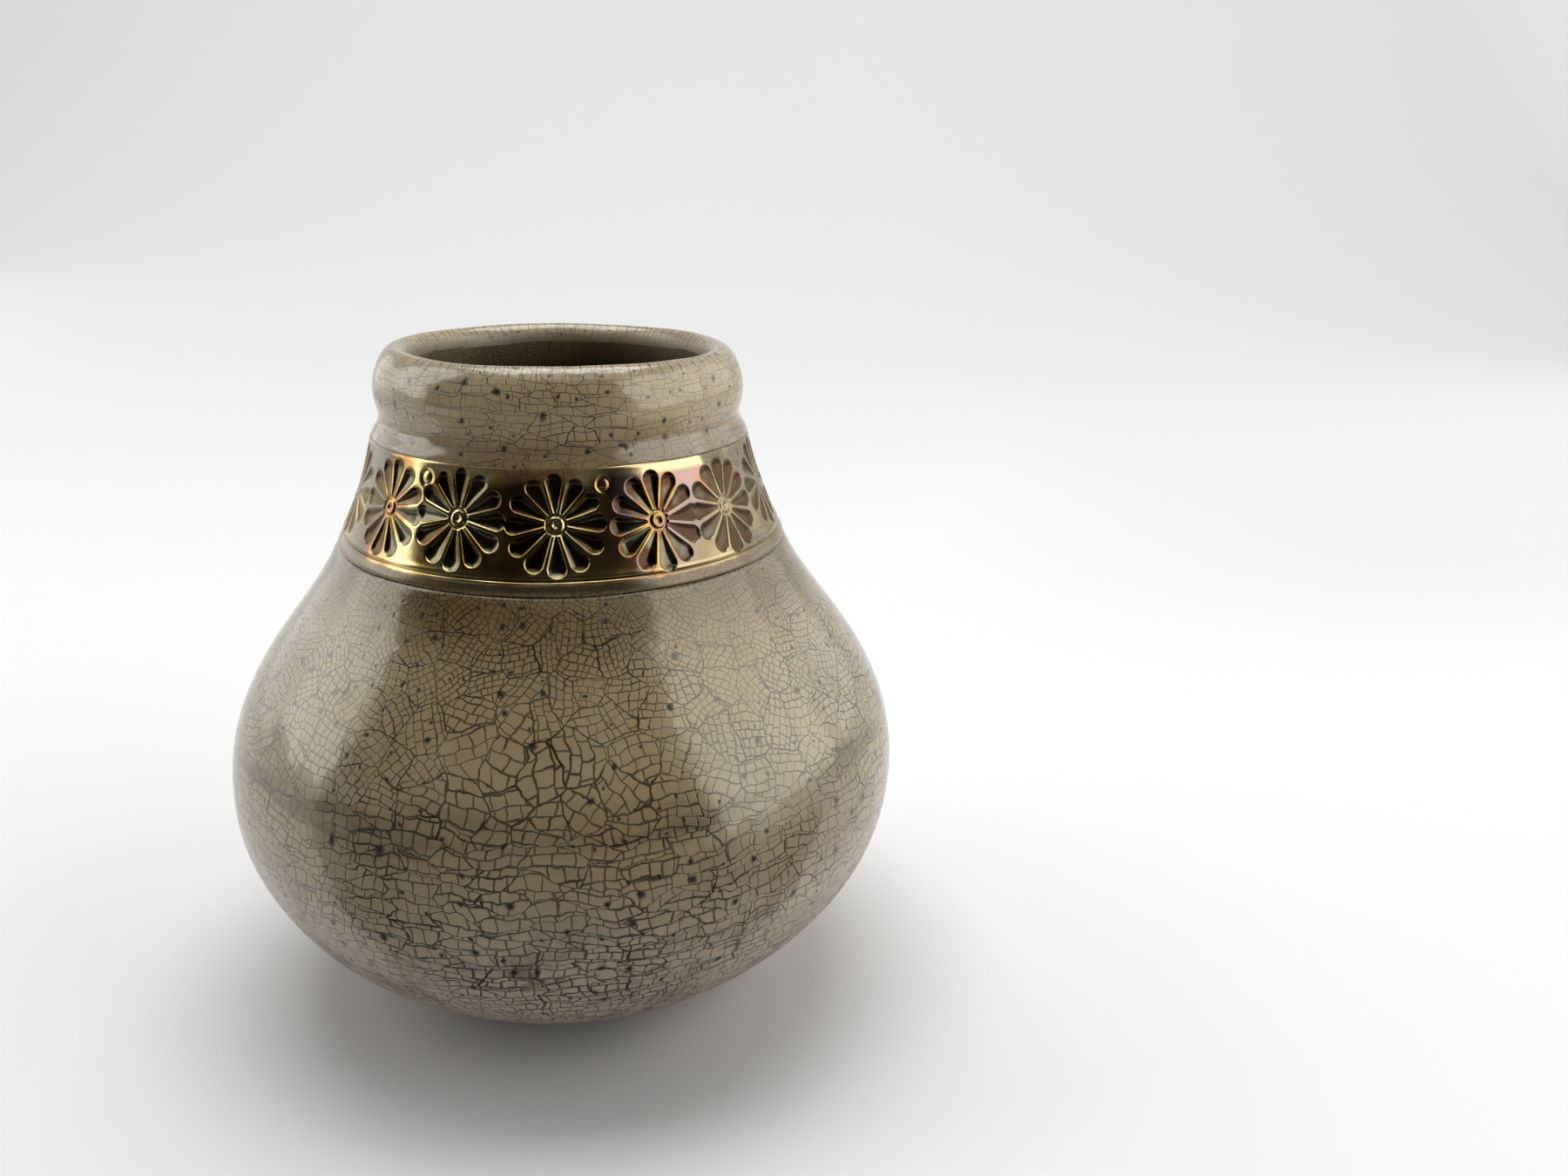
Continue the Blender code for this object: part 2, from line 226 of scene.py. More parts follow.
class Canvas(Nodes):
    """The node tree of one material, with its Principled shader."""

    MIX_FIRST, MIX_SECOND, MIX_RESULT = 6, 7, 2

    def __init__(self, name: str) -> None:
        """Start a material with a shader, an output and the object's own coordinates.

        Args:
            name: the material's name.
        """
        self.material = bpy.data.materials.new(name)
        self.material.use_nodes = True
        super().__init__(self.material.node_tree)
        self.shader = self.node("ShaderNodeBsdfPrincipled")
        surface = {"Surface": self.wire(self.shader, "BSDF")}
        self.output = self.node("ShaderNodeOutputMaterial", {}, surface)
        place = self.wire(self.node("ShaderNodeTexCoord"), "Object")
        self.place = self.vector("SCALE", place, Scale=1 / MM)
        self.across, self.depth, self.height = self.split(self.place)

    @cached_property
    def around(self) -> Wire:
        """Angle round the cup at the surface."""
        return self.turn(self.place)

    def turn(self, place: Wire) -> Wire:
        """Angle round the cup in radians, 0 at the front and growing to the right."""
        across, depth, _ = self.split(place)
        return self.maths("ARCTAN2", across, -1.0 * depth)

    def vector(self, operation: str, *vectors: Wire | Point, **named: float | Wire) -> Wire:
        """A Vector Math node.

        Args:
            operation: what the node does.
            vectors: its vectors.
            named: its other sockets.

        Returns:
            The vector, or the value where the operation is LENGTH.
        """
        inputs = {**dict(enumerate(vectors)), **named}
        node = self.node("ShaderNodeVectorMath", {"operation": operation}, inputs)
        return self.wire(node, "Value" if operation == "LENGTH" else "Vector")

    def blend(self, share: Wire | float, first: Wire | Colour, second: Wire | Colour) -> Wire:
        """Mix two colours.

        Args:
            share: 0 for the first colour and 1 for the second.
            first: a colour or a wire.
            second: a colour or a wire.

        Returns:
            The mixed colour.
        """
        pair = [c if isinstance(c, Wire) else (*c, 1.0) for c in (first, second)]
        settings = {"data_type": "RGBA", "clamp_factor": True}
        inputs = {"Factor": share, self.MIX_FIRST: pair[0], self.MIX_SECOND: pair[1]}
        return self.wire(self.node("ShaderNodeMix", settings, inputs), self.MIX_RESULT)

    def coats(self, base: Wire | Colour, *coats: tuple[Wire, Wire | Colour]) -> Wire:
        """Lay coats of colour over a base.

        Args:
            base: the colour underneath.
            coats: pairs of how far a coat covers, from 0 to 1, and its colour.

        Returns:
            The colour on top.
        """
        for share, colour in coats:
            base = self.blend(share, base, colour)
        return base

    def noise(
        self, grain: float, detail: float = 3.0, place: Wire | None = None, output: str = "Fac"
    ) -> Wire:
        """Soft noise.

        Args:
            grain: how wide its blots are, about.
            detail: how many finer layers it has.
            place: where it is read, if not at the surface itself.
            output: the node's output.

        Returns:
            The noise, from 0 to 1.
        """
        inputs = {
            "Vector": place or self.place,
            "Scale": 1 / grain,
            "Detail": detail,
            "Roughness": 0.55,
        }
        return self.wire(self.node("ShaderNodeTexNoise", {}, inputs), output)

    def cells(
        self, place: Wire, grain: Wire | float, output: str, space: str = "2D", scatter: float = 0.9
    ) -> Wire:
        """Voronoi cells about one grain across.

        Args:
            place: a place, or a single coordinate for cells along a line.
            grain: size of the cells.
            output: "Edge" for the distance to the nearest border, or an output of the F1 cells.
            space: "1D" or "2D".
            scatter: 0 for even cells and 1 for the most uneven ones.

        Returns:
            The output, with distances at the scale of the place.
        """
        edge = output == "Edge"
        settings = {"voronoi_dimensions": space, "feature": "DISTANCE_TO_EDGE" if edge else "F1"}
        where = "W" if space == "1D" else "Vector"
        inputs = {where: place, "Scale": 1.0 / grain, "Randomness": scatter}
        node = self.node("ShaderNodeTexVoronoi", settings, inputs)
        if edge or output == "Distance":
            return self.wire(node, "Distance") * grain
        return self.wire(node, output)

    def split(self, value: Wire) -> list[Wire]:
        """The three parts of a vector or colour."""
        node = self.node("ShaderNodeSeparateXYZ", {}, {"Vector": value})
        return [self.wire(node, axis) for axis in "XYZ"]

    def join(self, x: Wire, y: Wire) -> Wire:
        """A flat vector of two values."""
        return self.wire(self.node("ShaderNodeCombineXYZ", {}, {"X": x, "Y": y}), "Vector")

    def attribute(self, name: str) -> Wire:
        """A value that the mesh carries at its points."""
        return self.wire(self.node("ShaderNodeAttribute", {"attribute_name": name}), "Fac")

    def jitter(self, colour: Wire, reach: float) -> Wire:
        """A random colour as a random step, up to half the reach each way."""
        return self.vector("SCALE", self.vector("SUBTRACT", colour, (0.5, 0.5, 0.5)), Scale=reach)

    def relief(self, height: Wire, depth: float, normal: Wire | None = None) -> Wire:
        """A Bump node.

        Args:
            height: surface height from 0 to 1.
            depth: how deep that is.
            normal: the normal to start from, if not the surface's own.

        Returns:
            The bumped normal.
        """
        inputs = {"Height": height, "Distance": depth * MM, "Strength": 1.0}
        if normal:
            inputs["Normal"] = normal
        return self.wire(self.node("ShaderNodeBump", {}, inputs), "Normal")

    def paint(self, **sockets: Wire | float | Colour) -> bpy.types.Material:
        """Feed the shader's sockets, named with underscores for spaces.

        Args:
            sockets: values, colours or wires by socket name.

        Returns:
            The finished material.
        """
        for key, value in sockets.items():
            value = (*value, 1.0) if isinstance(value, tuple) else value
            self.feed(self.shader.inputs[key.replace("_", " ")], value)
        return self.material


@dataclass(frozen=True)
class Blots:
    """Soft blots about one grain across, 0 where the noise is low and 1 where it is high."""

    grain: float
    detail: float
    low: float
    high: float

    def on(self, canvas: Canvas, place: Wire | None = None) -> Wire:
        """Draw the blots, read at the surface if no place is given."""
        return canvas.noise(self.grain, self.detail, place).rise(self.low, self.high)


@dataclass(frozen=True)
class Sector:
    """A stretch of the way round the cup, in degrees from the front and to the right."""

    centre: float
    outer: float
    inner: float

    def on(self, canvas: Canvas) -> Wire:
        """How far a place lies in the sector: 1 within its inner half width, 0 beyond the outer."""
        away = (canvas.around - math.radians(self.centre)).size()
        return away.rise(math.radians(self.outer), math.radians(self.inner))


@dataclass(frozen=True)
class Crackle:
    """Smoke-blackened crackle: first long cracks, then rows between them, then short cracks across.

    The cracks are drawn on the skin laid flat: the angle round the cup and the climb up its side,
    both at the scale of the belly. Below the calm line the first cracks run level round the cup.
    Above it they run all ways and get finer towards the neck and away from the front.
    """

    patch: float = 5.2
    flatten: float = 2.4
    brick: float = 1.60
    coarse: float = 1.95
    fine: float = 1.08
    aspect: float = 1.10
    widths: tuple[float, float, float] = (0.165, 0.155, 0.150)
    calm: float = 11.0
    loose_above: Span = (-4.0, 8.0)
    fine_above: Span = (3.0, 20.0)
    fine_aside: Span = (8.0, 20.0)
    coarse_at: float = -4.0
    wanders: tuple[Span, ...] = ((10.0, 1.8), (2.4, 0.6))
    row_scatter: float = 0.7
    shard_scatter: float = 0.8
    shuffle: float = 60.0
    spin_share: Span = (0.10, 1.0)
    smoke: Blots = Blots(6.0, 3.0, 0.30, 0.68)
    smoke_width: Span = (0.70, 1.20)
    fine_width: Span = (1.12, 0.80)
    core: float = 0.45
    patch_dark: Span = (0.85, 1.0)
    row_dark: Span = (0.72, 1.0)
    shard_dark: Span = (0.62, 1.0)
    smoke_dark: Span = (0.86, 1.0)

    def sheet(self, canvas: Canvas) -> tuple[Wire, Wire]:
        """The skin laid flat, with a little wander.

        Args:
            canvas: the material to draw on.

        Returns:
            The way round the cup from the front, to the right, and the way up it.
        """
        spot = canvas.place
        for grain, reach in self.wanders:
            drift = canvas.jitter(canvas.noise(grain, 2.0, output="Color"), 2 * reach)
            spot = canvas.vector("ADD", spot, drift)
        lift = canvas.split(spot)[2] - canvas.height
        return canvas.turn(spot) * GIRTH, canvas.attribute("climb") + lift

    def draw(self, canvas: Canvas) -> tuple[Wire, Wire]:
        """Draw the cracks.

        Args:
            canvas: the material to draw on.

        Returns:
            How dark the crack is, from 0 to 1, and a random colour for each shard between cracks.
        """
        around, climb = self.sheet(canvas)
        smoke = self.smoke.on(canvas)
        flat = canvas.join(around, climb + climb.smaller(self.calm) * (self.flatten - 1.0))
        spin, slide, lift = canvas.split(canvas.cells(flat, self.patch, "Color"))
        right, up, _ = canvas.split(canvas.cells(flat, self.patch, "Position"))
        up = up - self.calm * self.flatten
        loose = up.rise(*self.loose_above)
        aside = (right - self.coarse_at).size()
        finer = up.rise(*self.fine_above).larger(aside.rise(*self.fine_aside))
        grain = self.brick + loose * finer.between(self.coarse - self.brick, self.fine - self.brick)
        spin = (spin - 0.5) * loose.between(*self.spin_share) * math.pi
        turn, tilt = canvas.maths("COSINE", spin), canvas.maths("SINE", spin)
        along = around * turn + climb * tilt + slide * self.shuffle
        across = climb * turn - around * tilt + lift * self.shuffle
        rows, shards = ("1D", self.row_scatter), ("1D", self.shard_scatter)
        row, shift, _ = canvas.split(canvas.cells(across, grain, "Color", *rows))
        along = along + shift * self.shuffle
        long_grain = grain * self.aspect
        shard = canvas.cells(along, long_grain, "Color", *shards)
        chance = canvas.split(shard)[0]
        edges = (
            (canvas.cells(flat, self.patch, "Edge"), smoke.between(*self.patch_dark)),
            (canvas.cells(across, grain, "Edge", *rows), row.between(*self.row_dark)),
            (canvas.cells(along, long_grain, "Edge", *shards), chance.between(*self.shard_dark)),
        )
        dark = (math.pi * GIRTH - around.size()).rise(self.widths[0], 0.0)
        for (edge, strength), width in zip(edges, self.widths):
            reach = width * smoke.between(*self.smoke_width) * finer.between(*self.fine_width)
            dark = dark.larger(edge.rise(reach, reach * self.core) * strength)
        return dark * smoke.between(*self.smoke_dark), shard


@dataclass(frozen=True)
class Glaze:
    """Glossy raku glaze over the clay, in stone grey, olive and straw.

    A crest above 0 is the top of a rim, which gets short cracks across it and a dark bore.
    """

    name: str = "crackle_glaze"
    stone: Colour = (0.400, 0.335, 0.215)
    olive: Colour = (0.345, 0.257, 0.136)
    straw: Colour = (0.440, 0.352, 0.172)
    umber: Colour = (0.150, 0.104, 0.060)
    ash: Colour = (0.390, 0.322, 0.262)
    fume: Colour = (0.150, 0.092, 0.028)
    smoke: Colour = (0.085, 0.072, 0.062)
    bore: Colour = (0.085, 0.048, 0.015)
    # Soot also colours the painted shade in a hem under the front of the band.
    soot: Colour = (0.020, 0.015, 0.010)
    speck: Colour = (0.020, 0.020, 0.022)
    sheen: Colour = (1.000, 0.940, 0.760)
    crackle: Crackle = Crackle()
    band: Span = (64.3, 76.4)
    olive_blots: Blots = Blots(26.0, 4.0, 0.36, 0.66)
    straw_blots: Blots = Blots(15.0, 3.0, 0.54, 0.78)
    straw_share: float = 0.8
    stain_blots: Blots = Blots(17.0, 4.0, 0.47, 0.70)
    stain_share: float = 0.32
    streak_blots: Blots = Blots(9.0, 4.0, 0.48, 0.70)
    streak_stretch: Point = (0.35, 0.35, 2.2)
    streak_share: float = 0.75
    belt: tuple[Span, Span] = ((26.0, 34.0), (47.0, 40.0))
    stripe_height: float = 38.0
    stripe_wave: float = 4.0
    stripe_width: Span = (4.5, 1.0)
    stripe_depth: Span = (-10.0, -30.0)
    stripe_share: Span = (0.25, 0.70)
    low_height: Span = (45.0, 25.0)
    low_wave: float = 10.0
    ash_share: float = 0.8
    fume_over: float = 5.0
    fume_under: Span = (11.0, 3.0)
    fume_least: float = 0.35
    fume_depth: Span = (6.0, -18.0)
    fume_share: Span = (0.40, 1.0)
    # Painted shade: a dark hem just under the front of the band.
    shade_drop: float = 0.45
    shade_width: Span = (1.15, 0.45)
    shade_sector: Sector = Sector(-5.16, 37.24, 17.19)
    shade_share: float = 0.9
    smudge_blots: Blots = Blots(7.0, 4.0, 0.52, 0.72)
    smudge_height: Span = (34.0, 22.0)
    smudge_share: float = 0.55
    grit_blots: Blots = Blots(2.2, 5.0, 0.45, 0.75)
    grit_share: Span = (0.12, 0.37)
    pit_swarms: Blots = Blots(13.0, 2.0, 0.42, 0.56)
    pit_blots: Blots = Blots(1.7, 3.0, 0.52, 0.66)
    pit_height: Span = (30.0, 18.0)
    pit_dark: float = 0.65
    speck_swarms: Blots = Blots(15.0, 2.0, 0.36, 0.60)
    speck_spread: float = 3.6
    speck_sizes: Span = (0.30, 1.0)
    speck_radius: Span = (0.28, 0.66)
    speck_edge: Span = (1.30, 0.30)
    speck_scale: float = 1.0
    speck_share: float = 0.30
    speck_dark: float = 0.95
    swarm_share: float = 0.52
    joint_lines: tuple[float, ...] = ()
    joint_width: Span = (0.16, 0.048)
    joint_blots: Blots = Blots(5.0, 2.0, 0.35, 0.6)
    joint_share: Span = (0.05, 0.50)
    crest: float = 0.0
    crest_radius: float = 20.6
    crest_pitch: float = 1.35
    stitch_width: Span = (0.12, 0.04)
    stitch_height: Span = (-0.9, 0.3)
    stitch_wander: float = 1.6
    stitch_ragged: float = 1.5
    stitch_dark: float = 0.9
    bore_inset: Span = (1.0, 2.3)
    bore_matt: float = 0.48
    gloss: float = 0.11
    haze: float = 0.08
    matt: float = 0.30
    matt_height: Span = (32.0, 14.0)
    tilt: float = 0.035
    swell: float = 0.5
    crack_dip: float = 0.15
    speck_dip: float = 0.4
    skin_depth: float = 0.05
    ior: float = 1.7

    def stain(self, canvas: Canvas) -> Wire:
        """Brown streaks in a belt round the belly, blots, and a stripe across the front.

        Args:
            canvas: the material to draw on.

        Returns:
            How far the stain covers, from 0 to 1.
        """
        stretched = canvas.vector("MULTIPLY", canvas.place, self.streak_stretch)
        streak = self.streak_blots.on(canvas, stretched)
        belt = canvas.height.rise(*self.belt[0]) * canvas.height.rise(*self.belt[1])
        blot = self.stain_blots.on(canvas)
        above = canvas.height - self.stripe_height + self.stripe_wave * (blot - 0.5)
        stripe = above.size().rise(*self.stripe_width) * canvas.depth.rise(*self.stripe_depth)
        stripe = stripe * streak.between(*self.stripe_share)
        return (streak * belt * self.streak_share).larger(blot * self.stain_share).larger(stripe)

    def fumes(self, canvas: Canvas) -> Wire:
        """Brown fume beside the lustred band, strongest at the front.

        Args:
            canvas: the material to draw on.

        Returns:
            How far the fume covers, from 0 to 1.
        """
        low, high = self.band
        over = canvas.height.rise(high + self.fume_over, high)
        under = canvas.height.rise(low - self.fume_under[0], low - self.fume_under[1])
        fume = over.smaller(under) * (self.fume_least + canvas.noise(12.0, 2.0)).smaller(1.0)
        return fume * canvas.depth.rise(*self.fume_depth).between(*self.fume_share)

    def ground(self, canvas: Canvas) -> Wire:
        """Mottled colour of the glaze between its cracks.

        Args:
            canvas: the material to draw on.

        Returns:
            The colour, ashy near the foot, with painted shade in the soot colour in a hem under the
            front of the band.
        """
        low = (canvas.height + self.low_wave * canvas.noise(10.0)).rise(*self.low_height)
        under_band_shade = (canvas.height - self.band[0] + self.shade_drop).size().rise(*self.shade_width)
        smudge = self.smudge_blots.on(canvas) * canvas.height.rise(*self.smudge_height)
        return canvas.coats(
            self.stone,
            (self.olive_blots.on(canvas), self.olive),
            (self.straw_blots.on(canvas) * self.straw_share, self.straw),
            (self.stain(canvas), self.umber),
            (low * self.ash_share, self.ash),
            (self.fumes(canvas), self.fume),
            # Painted shade under the front of the band, in the soot colour.
            (under_band_shade * self.shade_sector.on(canvas) * self.shade_share, self.soot),
            (smudge * self.smudge_share, self.smoke),
            (self.grit_blots.on(canvas) * low.between(*self.grit_share), self.umber),
        )

    def pits(self, canvas: Canvas) -> Wire:
        """Rough dark pits near the foot, in swarms."""
        near = canvas.height.rise(*self.pit_height)
        return self.pit_blots.on(canvas) * self.pit_swarms.on(canvas) * near

    def specks(self, canvas: Canvas) -> Wire:
        """Dark pinholes of unlike size, in loose swarms, each with a soft edge.

        Args:
            canvas: the material to draw on.

        Returns:
            How dark the speck is, from 0 to 1.
        """
        flat = canvas.join(*self.crackle.sheet(canvas))
        spread = self.speck_spread * self.speck_scale
        near = canvas.cells(flat, spread, "Distance") / self.speck_scale
        chance, size, _ = canvas.split(canvas.cells(flat, spread, "Color"))
        radius = size.rise(*self.speck_sizes).between(*self.speck_radius)
        outer, inner = self.speck_edge
        bare = 1.0 - self.speck_share - self.swarm_share * self.speck_swarms.on(canvas)
        return near.rise(radius * outer, radius * inner) * chance.rise(bare, bare + 0.04)

    def joints(self, canvas: Canvas) -> Wire:
        """Soot that stays in the incised lines in places.

        Args:
            canvas: the material to draw on.

        Returns:
            How dark the soot is, from 0 to 1.
        """
        soot: Wire | float = 0.0
        for line in self.joint_lines:
            soot = (canvas.height - line).size().rise(*self.joint_width).larger(soot)
        return soot * self.joint_blots.on(canvas).between(*self.joint_share)

    def stitches(self, canvas: Canvas) -> Wire:
        """Short cracks across the crest of the rim.

        Args:
            canvas: the material to draw on.

        Returns:
            How dark the crack is, from 0 to 1.
        """
        along = canvas.around * self.crest_radius + self.stitch_wander * canvas.noise(3.5, 2.0)
        edge = canvas.cells(along, self.crest_pitch, "Edge", "1D", 1.0).rise(*self.stitch_width)
        height = canvas.height - self.crest + self.stitch_ragged * canvas.noise(2.0, 2.0)
        return edge * height.rise(*self.stitch_height) * self.stitch_dark

    def facets(self, canvas: Canvas, shard: Wire) -> Wire:
        """The surface's normal, tilted a little from shard to shard.

        Args:
            canvas: the material to draw on.
            shard: a random colour for each shard.

        Returns:
            The tilted normal.
        """
        normal = canvas.wire(canvas.node("ShaderNodeNewGeometry"), "Normal")
        tilted = canvas.vector("ADD", normal, canvas.jitter(shard, self.tilt))
        return canvas.vector("NORMALIZE", tilted)

    def make(self) -> bpy.types.Material:
        """Build the glaze's material.

        Returns:
            The finished material.
        """
        canvas = Canvas(self.name)
        cracks, shard = self.crackle.draw(canvas)
        specks, pits = self.specks(canvas), self.pits(canvas)
        coats = [(pits * self.pit_dark, self.smoke), (specks * self.speck_dark, self.speck)]
        matt = self.matt * canvas.height.rise(*self.matt_height)
        roughness = self.gloss + matt + self.haze * canvas.noise(4.0)
        if self.crest:
            cracks = cracks.larger(self.stitches(canvas))
            level = canvas.vector("MULTIPLY", canvas.place, (1.0, 1.0, 0.0))
            inset = self.crest_radius - canvas.vector("LENGTH", level)
            bore = inset.rise(*self.bore_inset)
            coats.append((bore, self.bore))
            roughness = roughness + self.bore_matt * bore
        coats.append((cracks, self.soot))
        if self.joint_lines:
            coats.append((self.joints(canvas), self.soot))
        dips = cracks * self.crack_dip + specks * self.speck_dip + pits
        skin = canvas.noise(5.0, 2.0) * self.swell - dips
        return canvas.paint(
            Base_Color=canvas.coats(self.ground(canvas), *coats),
            Roughness=roughness,
            Normal=canvas.relief(skin, self.skin_depth, self.facets(canvas, shard)),
            Specular_Tint=self.sheen,
            IOR=self.ior,
        )


@dataclass(frozen=True)
class Liner:
    """Thin brown glaze inside the cup."""

    name: str = "liner_glaze"
    brown: Colour = (0.080, 0.050, 0.020)
    olive: Colour = (0.145, 0.108, 0.048)
    soot: Colour = (0.015, 0.010, 0.006)
    blots: Blots = Blots(14.0, 4.0, 0.3, 0.7)
    crackle: Crackle = Crackle()
    roughness: Span = (0.55, 0.75)
    skin_depth: float = 0.05
    ior: float = 1.25

    def make(self) -> bpy.types.Material:
        """Build the liner's material.

        Returns:
            The finished material.
        """
        canvas = Canvas(self.name)
        cracks, _ = self.crackle.draw(canvas)
        coats = (self.blots.on(canvas), self.olive), (cracks, self.soot)
        return canvas.paint(
            Base_Color=canvas.coats(self.brown, *coats),
            Roughness=cracks.between(*self.roughness),
            Normal=canvas.relief(canvas.noise(3.0), self.skin_depth),
            IOR=self.ior,
        )


@dataclass(frozen=True)
class Lustre:
    """Mirror-like metal film in gold, copper, violet and green, worn back to glaze in places."""

    name: str = "daisy_lustre"
    gold: Colour = (0.410, 0.258, 0.076)
    straw: Colour = (0.630, 0.505, 0.245)
    copper: Colour = (0.290, 0.148, 0.072)
    rose: Colour = (0.285, 0.190, 0.150)
    violet: Colour = (0.245, 0.165, 0.170)
    mist: Colour = (0.165, 0.135, 0.092)
    green: Colour = (0.125, 0.125, 0.090)
    bronze: Colour = (0.040, 0.021, 0.010)
    glaze: Glaze = Glaze()
    band: Span = (64.4, 76.3)
    front: Sector = Sector(-6.0, 54.0, 41.0)
    worn: Sector = Sector(-14.0, 26.0, 17.0)
    pink: Sector = Sector(24.0, 26.0, 8.0)
    # Painted highlight: a narrow pale straw strip where the left panel is mirrored.
    pale_highlight: Sector = Sector(-41.5, 5.0, 2.0)
    pink_shift: float = 0.09
    pale_highlight_share: float = 0.8
    mist_from: Span = (math.radians(20.0), math.radians(36.0))
    mist_top: Span = (-3.0, -6.0)
    mist_share: float = 0.8
    # A paler film along the top at the right, with the right panel's highlight painted on it in
    # straw.
    crown_from: Span = (0.05, 0.20)
    crown_top: Span = (-1.5, -0.7)
    crown_share: float = 0.8
    dusk_from: Span = (math.radians(-44.5), math.radians(-49.0))
    dusk_top: Span = (-9.0, -10.5)
    dusk_share: float = 0.6
    patch_span: Span = (0.48, 0.66)
    front_gain: float = 0.5
    worn_top: Span = (-0.4, -2.4)
    worn_wave: float = 2.4
    worn_share: float = 0.75
    border_height: float = 0.2
    border_width: Span = (0.55, 0.25)
    # Painted highlight: straw along the band's lower edge, as a bright gold wire.
    border_highlight: float = 0.3
    border_share: float = 0.6
    ragged_edge: Span = (-0.55, -0.2)
    ragged_wave: float = 0.5
    green_blots: Blots = Blots(4.0, 2.0, 0.4, 0.65)
    hollow: Span = (0.03, -0.20)
    hollow_share: float = 0.94
    bare_dark: float = 0.85
    outline: Span = (0.03, -0.13)
    swell: float = 0.28
    crack_dip: Span = (0.08, 0.0)
    skin_depth: float = 0.07
    metal: Span = (0.08, 1.0)
    roughness: Span = (0.10, 0.26)

    def film(self, canvas: Canvas, press: Wire) -> Wire:
        """Colours of the film.

        Args:
            canvas: the material to draw on.
            press: 1 in the hollow of a petal and 0 outside it.

        Returns:
            The colour: pink on the right, dark in the petals, and straw where highlights are
                painted: a strip at the left, along the top at the right, where the film is also
                paler, and along the lower edge.
        """
        turn, top = canvas.around, canvas.height - self.band[1]
        stops = (
            (0.28, self.violet),
            (0.36, self.rose),
            (0.43, self.copper),
            (0.50, self.gold),
            (0.60, self.straw),
            (0.74, self.copper),
        )
        hue = canvas.noise(8.0) - self.pink_shift * self.pink.on(canvas)
        ramp = canvas.node("ShaderNodeValToRGB", {"stops": stops}, {"Fac": hue})
        mist = turn.rise(*self.mist_from) * top.rise(*self.mist_top)
        crown_highlight = top.rise(*self.crown_top) * turn.rise(*self.crown_from)
        # Painted highlights in straw: the left strip, the top at the right and the lower edge.
        painted_highlight = (self.pale_highlight.on(canvas) * self.pale_highlight_share).larger(crown_highlight * self.crown_share)
        painted_highlight = painted_highlight.larger(self.border(canvas) * self.border_highlight)
        dusk = turn.rise(*self.dusk_from) * top.rise(*self.dusk_top)
        green = self.green_blots.on(canvas) * self.front.on(canvas)
        return canvas.coats(
            canvas.wire(ramp, "Color"),
            (mist * self.mist_share, self.mist),
            (painted_highlight, self.straw),
            (dusk * self.dusk_share, self.copper),
            (press, canvas.blend(green, self.bronze, self.green)),
        )

    def border(self, canvas: Canvas) -> Wire:
        """The thread of gold along the band's lower edge."""
        return (canvas.height - self.band[0] - self.border_height).size().rise(*self.border_width)

    def cover(self, canvas: Canvas) -> Wire:
        """Where the film lies: whole at the front but thin at its top, and patchy round the back.

        Args:
            canvas: the material to draw on.

        Returns:
            How far the film covers, from 0 to 1.
        """
        low, high = self.band
        front = self.front.on(canvas)
        patch = canvas.noise(8.0)
        lie = (patch + self.front_gain * front).rise(*self.patch_span)
        top = (canvas.height - high + self.worn_wave * (patch - 0.5)).rise(*self.worn_top)
        worn = self.worn_share * self.worn.on(canvas) * (1.0 - top)
        edge = canvas.height - low + self.ragged_wave * (canvas.noise(2.0) - 0.5)
        lie = lie * (1.0 - worn) * edge.rise(*self.ragged_edge)
        return lie.larger(self.border(canvas) * front * self.border_share)

    def make(self) -> bpy.types.Material:
        """Build the lustre's material.

        Returns:
            The finished material.
        """
        canvas = Canvas(self.name)
        edge = canvas.attribute("edge")
        press = edge.rise(*self.hollow) * self.hollow_share
        cover = self.cover(canvas).larger(press)
        cracks, _ = self.glaze.crackle.draw(canvas)
        coats = (press * self.bare_dark, self.bronze), (cracks * self.bare_dark, self.glaze.soot)
        bare = canvas.coats(self.glaze.ground(canvas), *coats)
        wear = canvas.noise(2.5, 4.0)
        dips = cracks * cover.between(*self.crack_dip) + edge.rise(*self.outline)
        return canvas.paint(
            Base_Color=canvas.blend(cover, bare, self.film(canvas, press)),
            Metallic=cover.between(*self.metal),
            Roughness=wear.between(*self.roughness),
            Normal=canvas.relief(wear * self.swell - dips, self.skin_depth),
            Specular_Tint=self.glaze.sheen,
            IOR=self.glaze.ior,
        )


@dataclass(frozen=True)
class BareClay:
    """Unglazed clay, smoked dark."""

    name: str = "bare_clay"
    smoked: Colour = (0.085, 0.075, 0.068)
    buff: Colour = (0.220, 0.185, 0.150)
    buff_span: Span = (0.45, 0.75)
    roughness: Span = (0.78, 0.93)
    grog_depth: float = 0.12

    def make(self) -> bpy.types.Material:
        """Build the clay's material.

        Returns:
            The finished material.
        """
        canvas = Canvas(self.name)
        grog = canvas.noise(0.7, 4.0)
        share = (0.6 * canvas.noise(6.0, 4.0) + 0.5 * grog).rise(*self.buff_span)
        return canvas.paint(
            Base_Color=canvas.blend(share, self.smoked, self.buff),
            Roughness=grog.between(*self.roughness),
            Normal=canvas.relief(grog, self.grog_depth),
        )


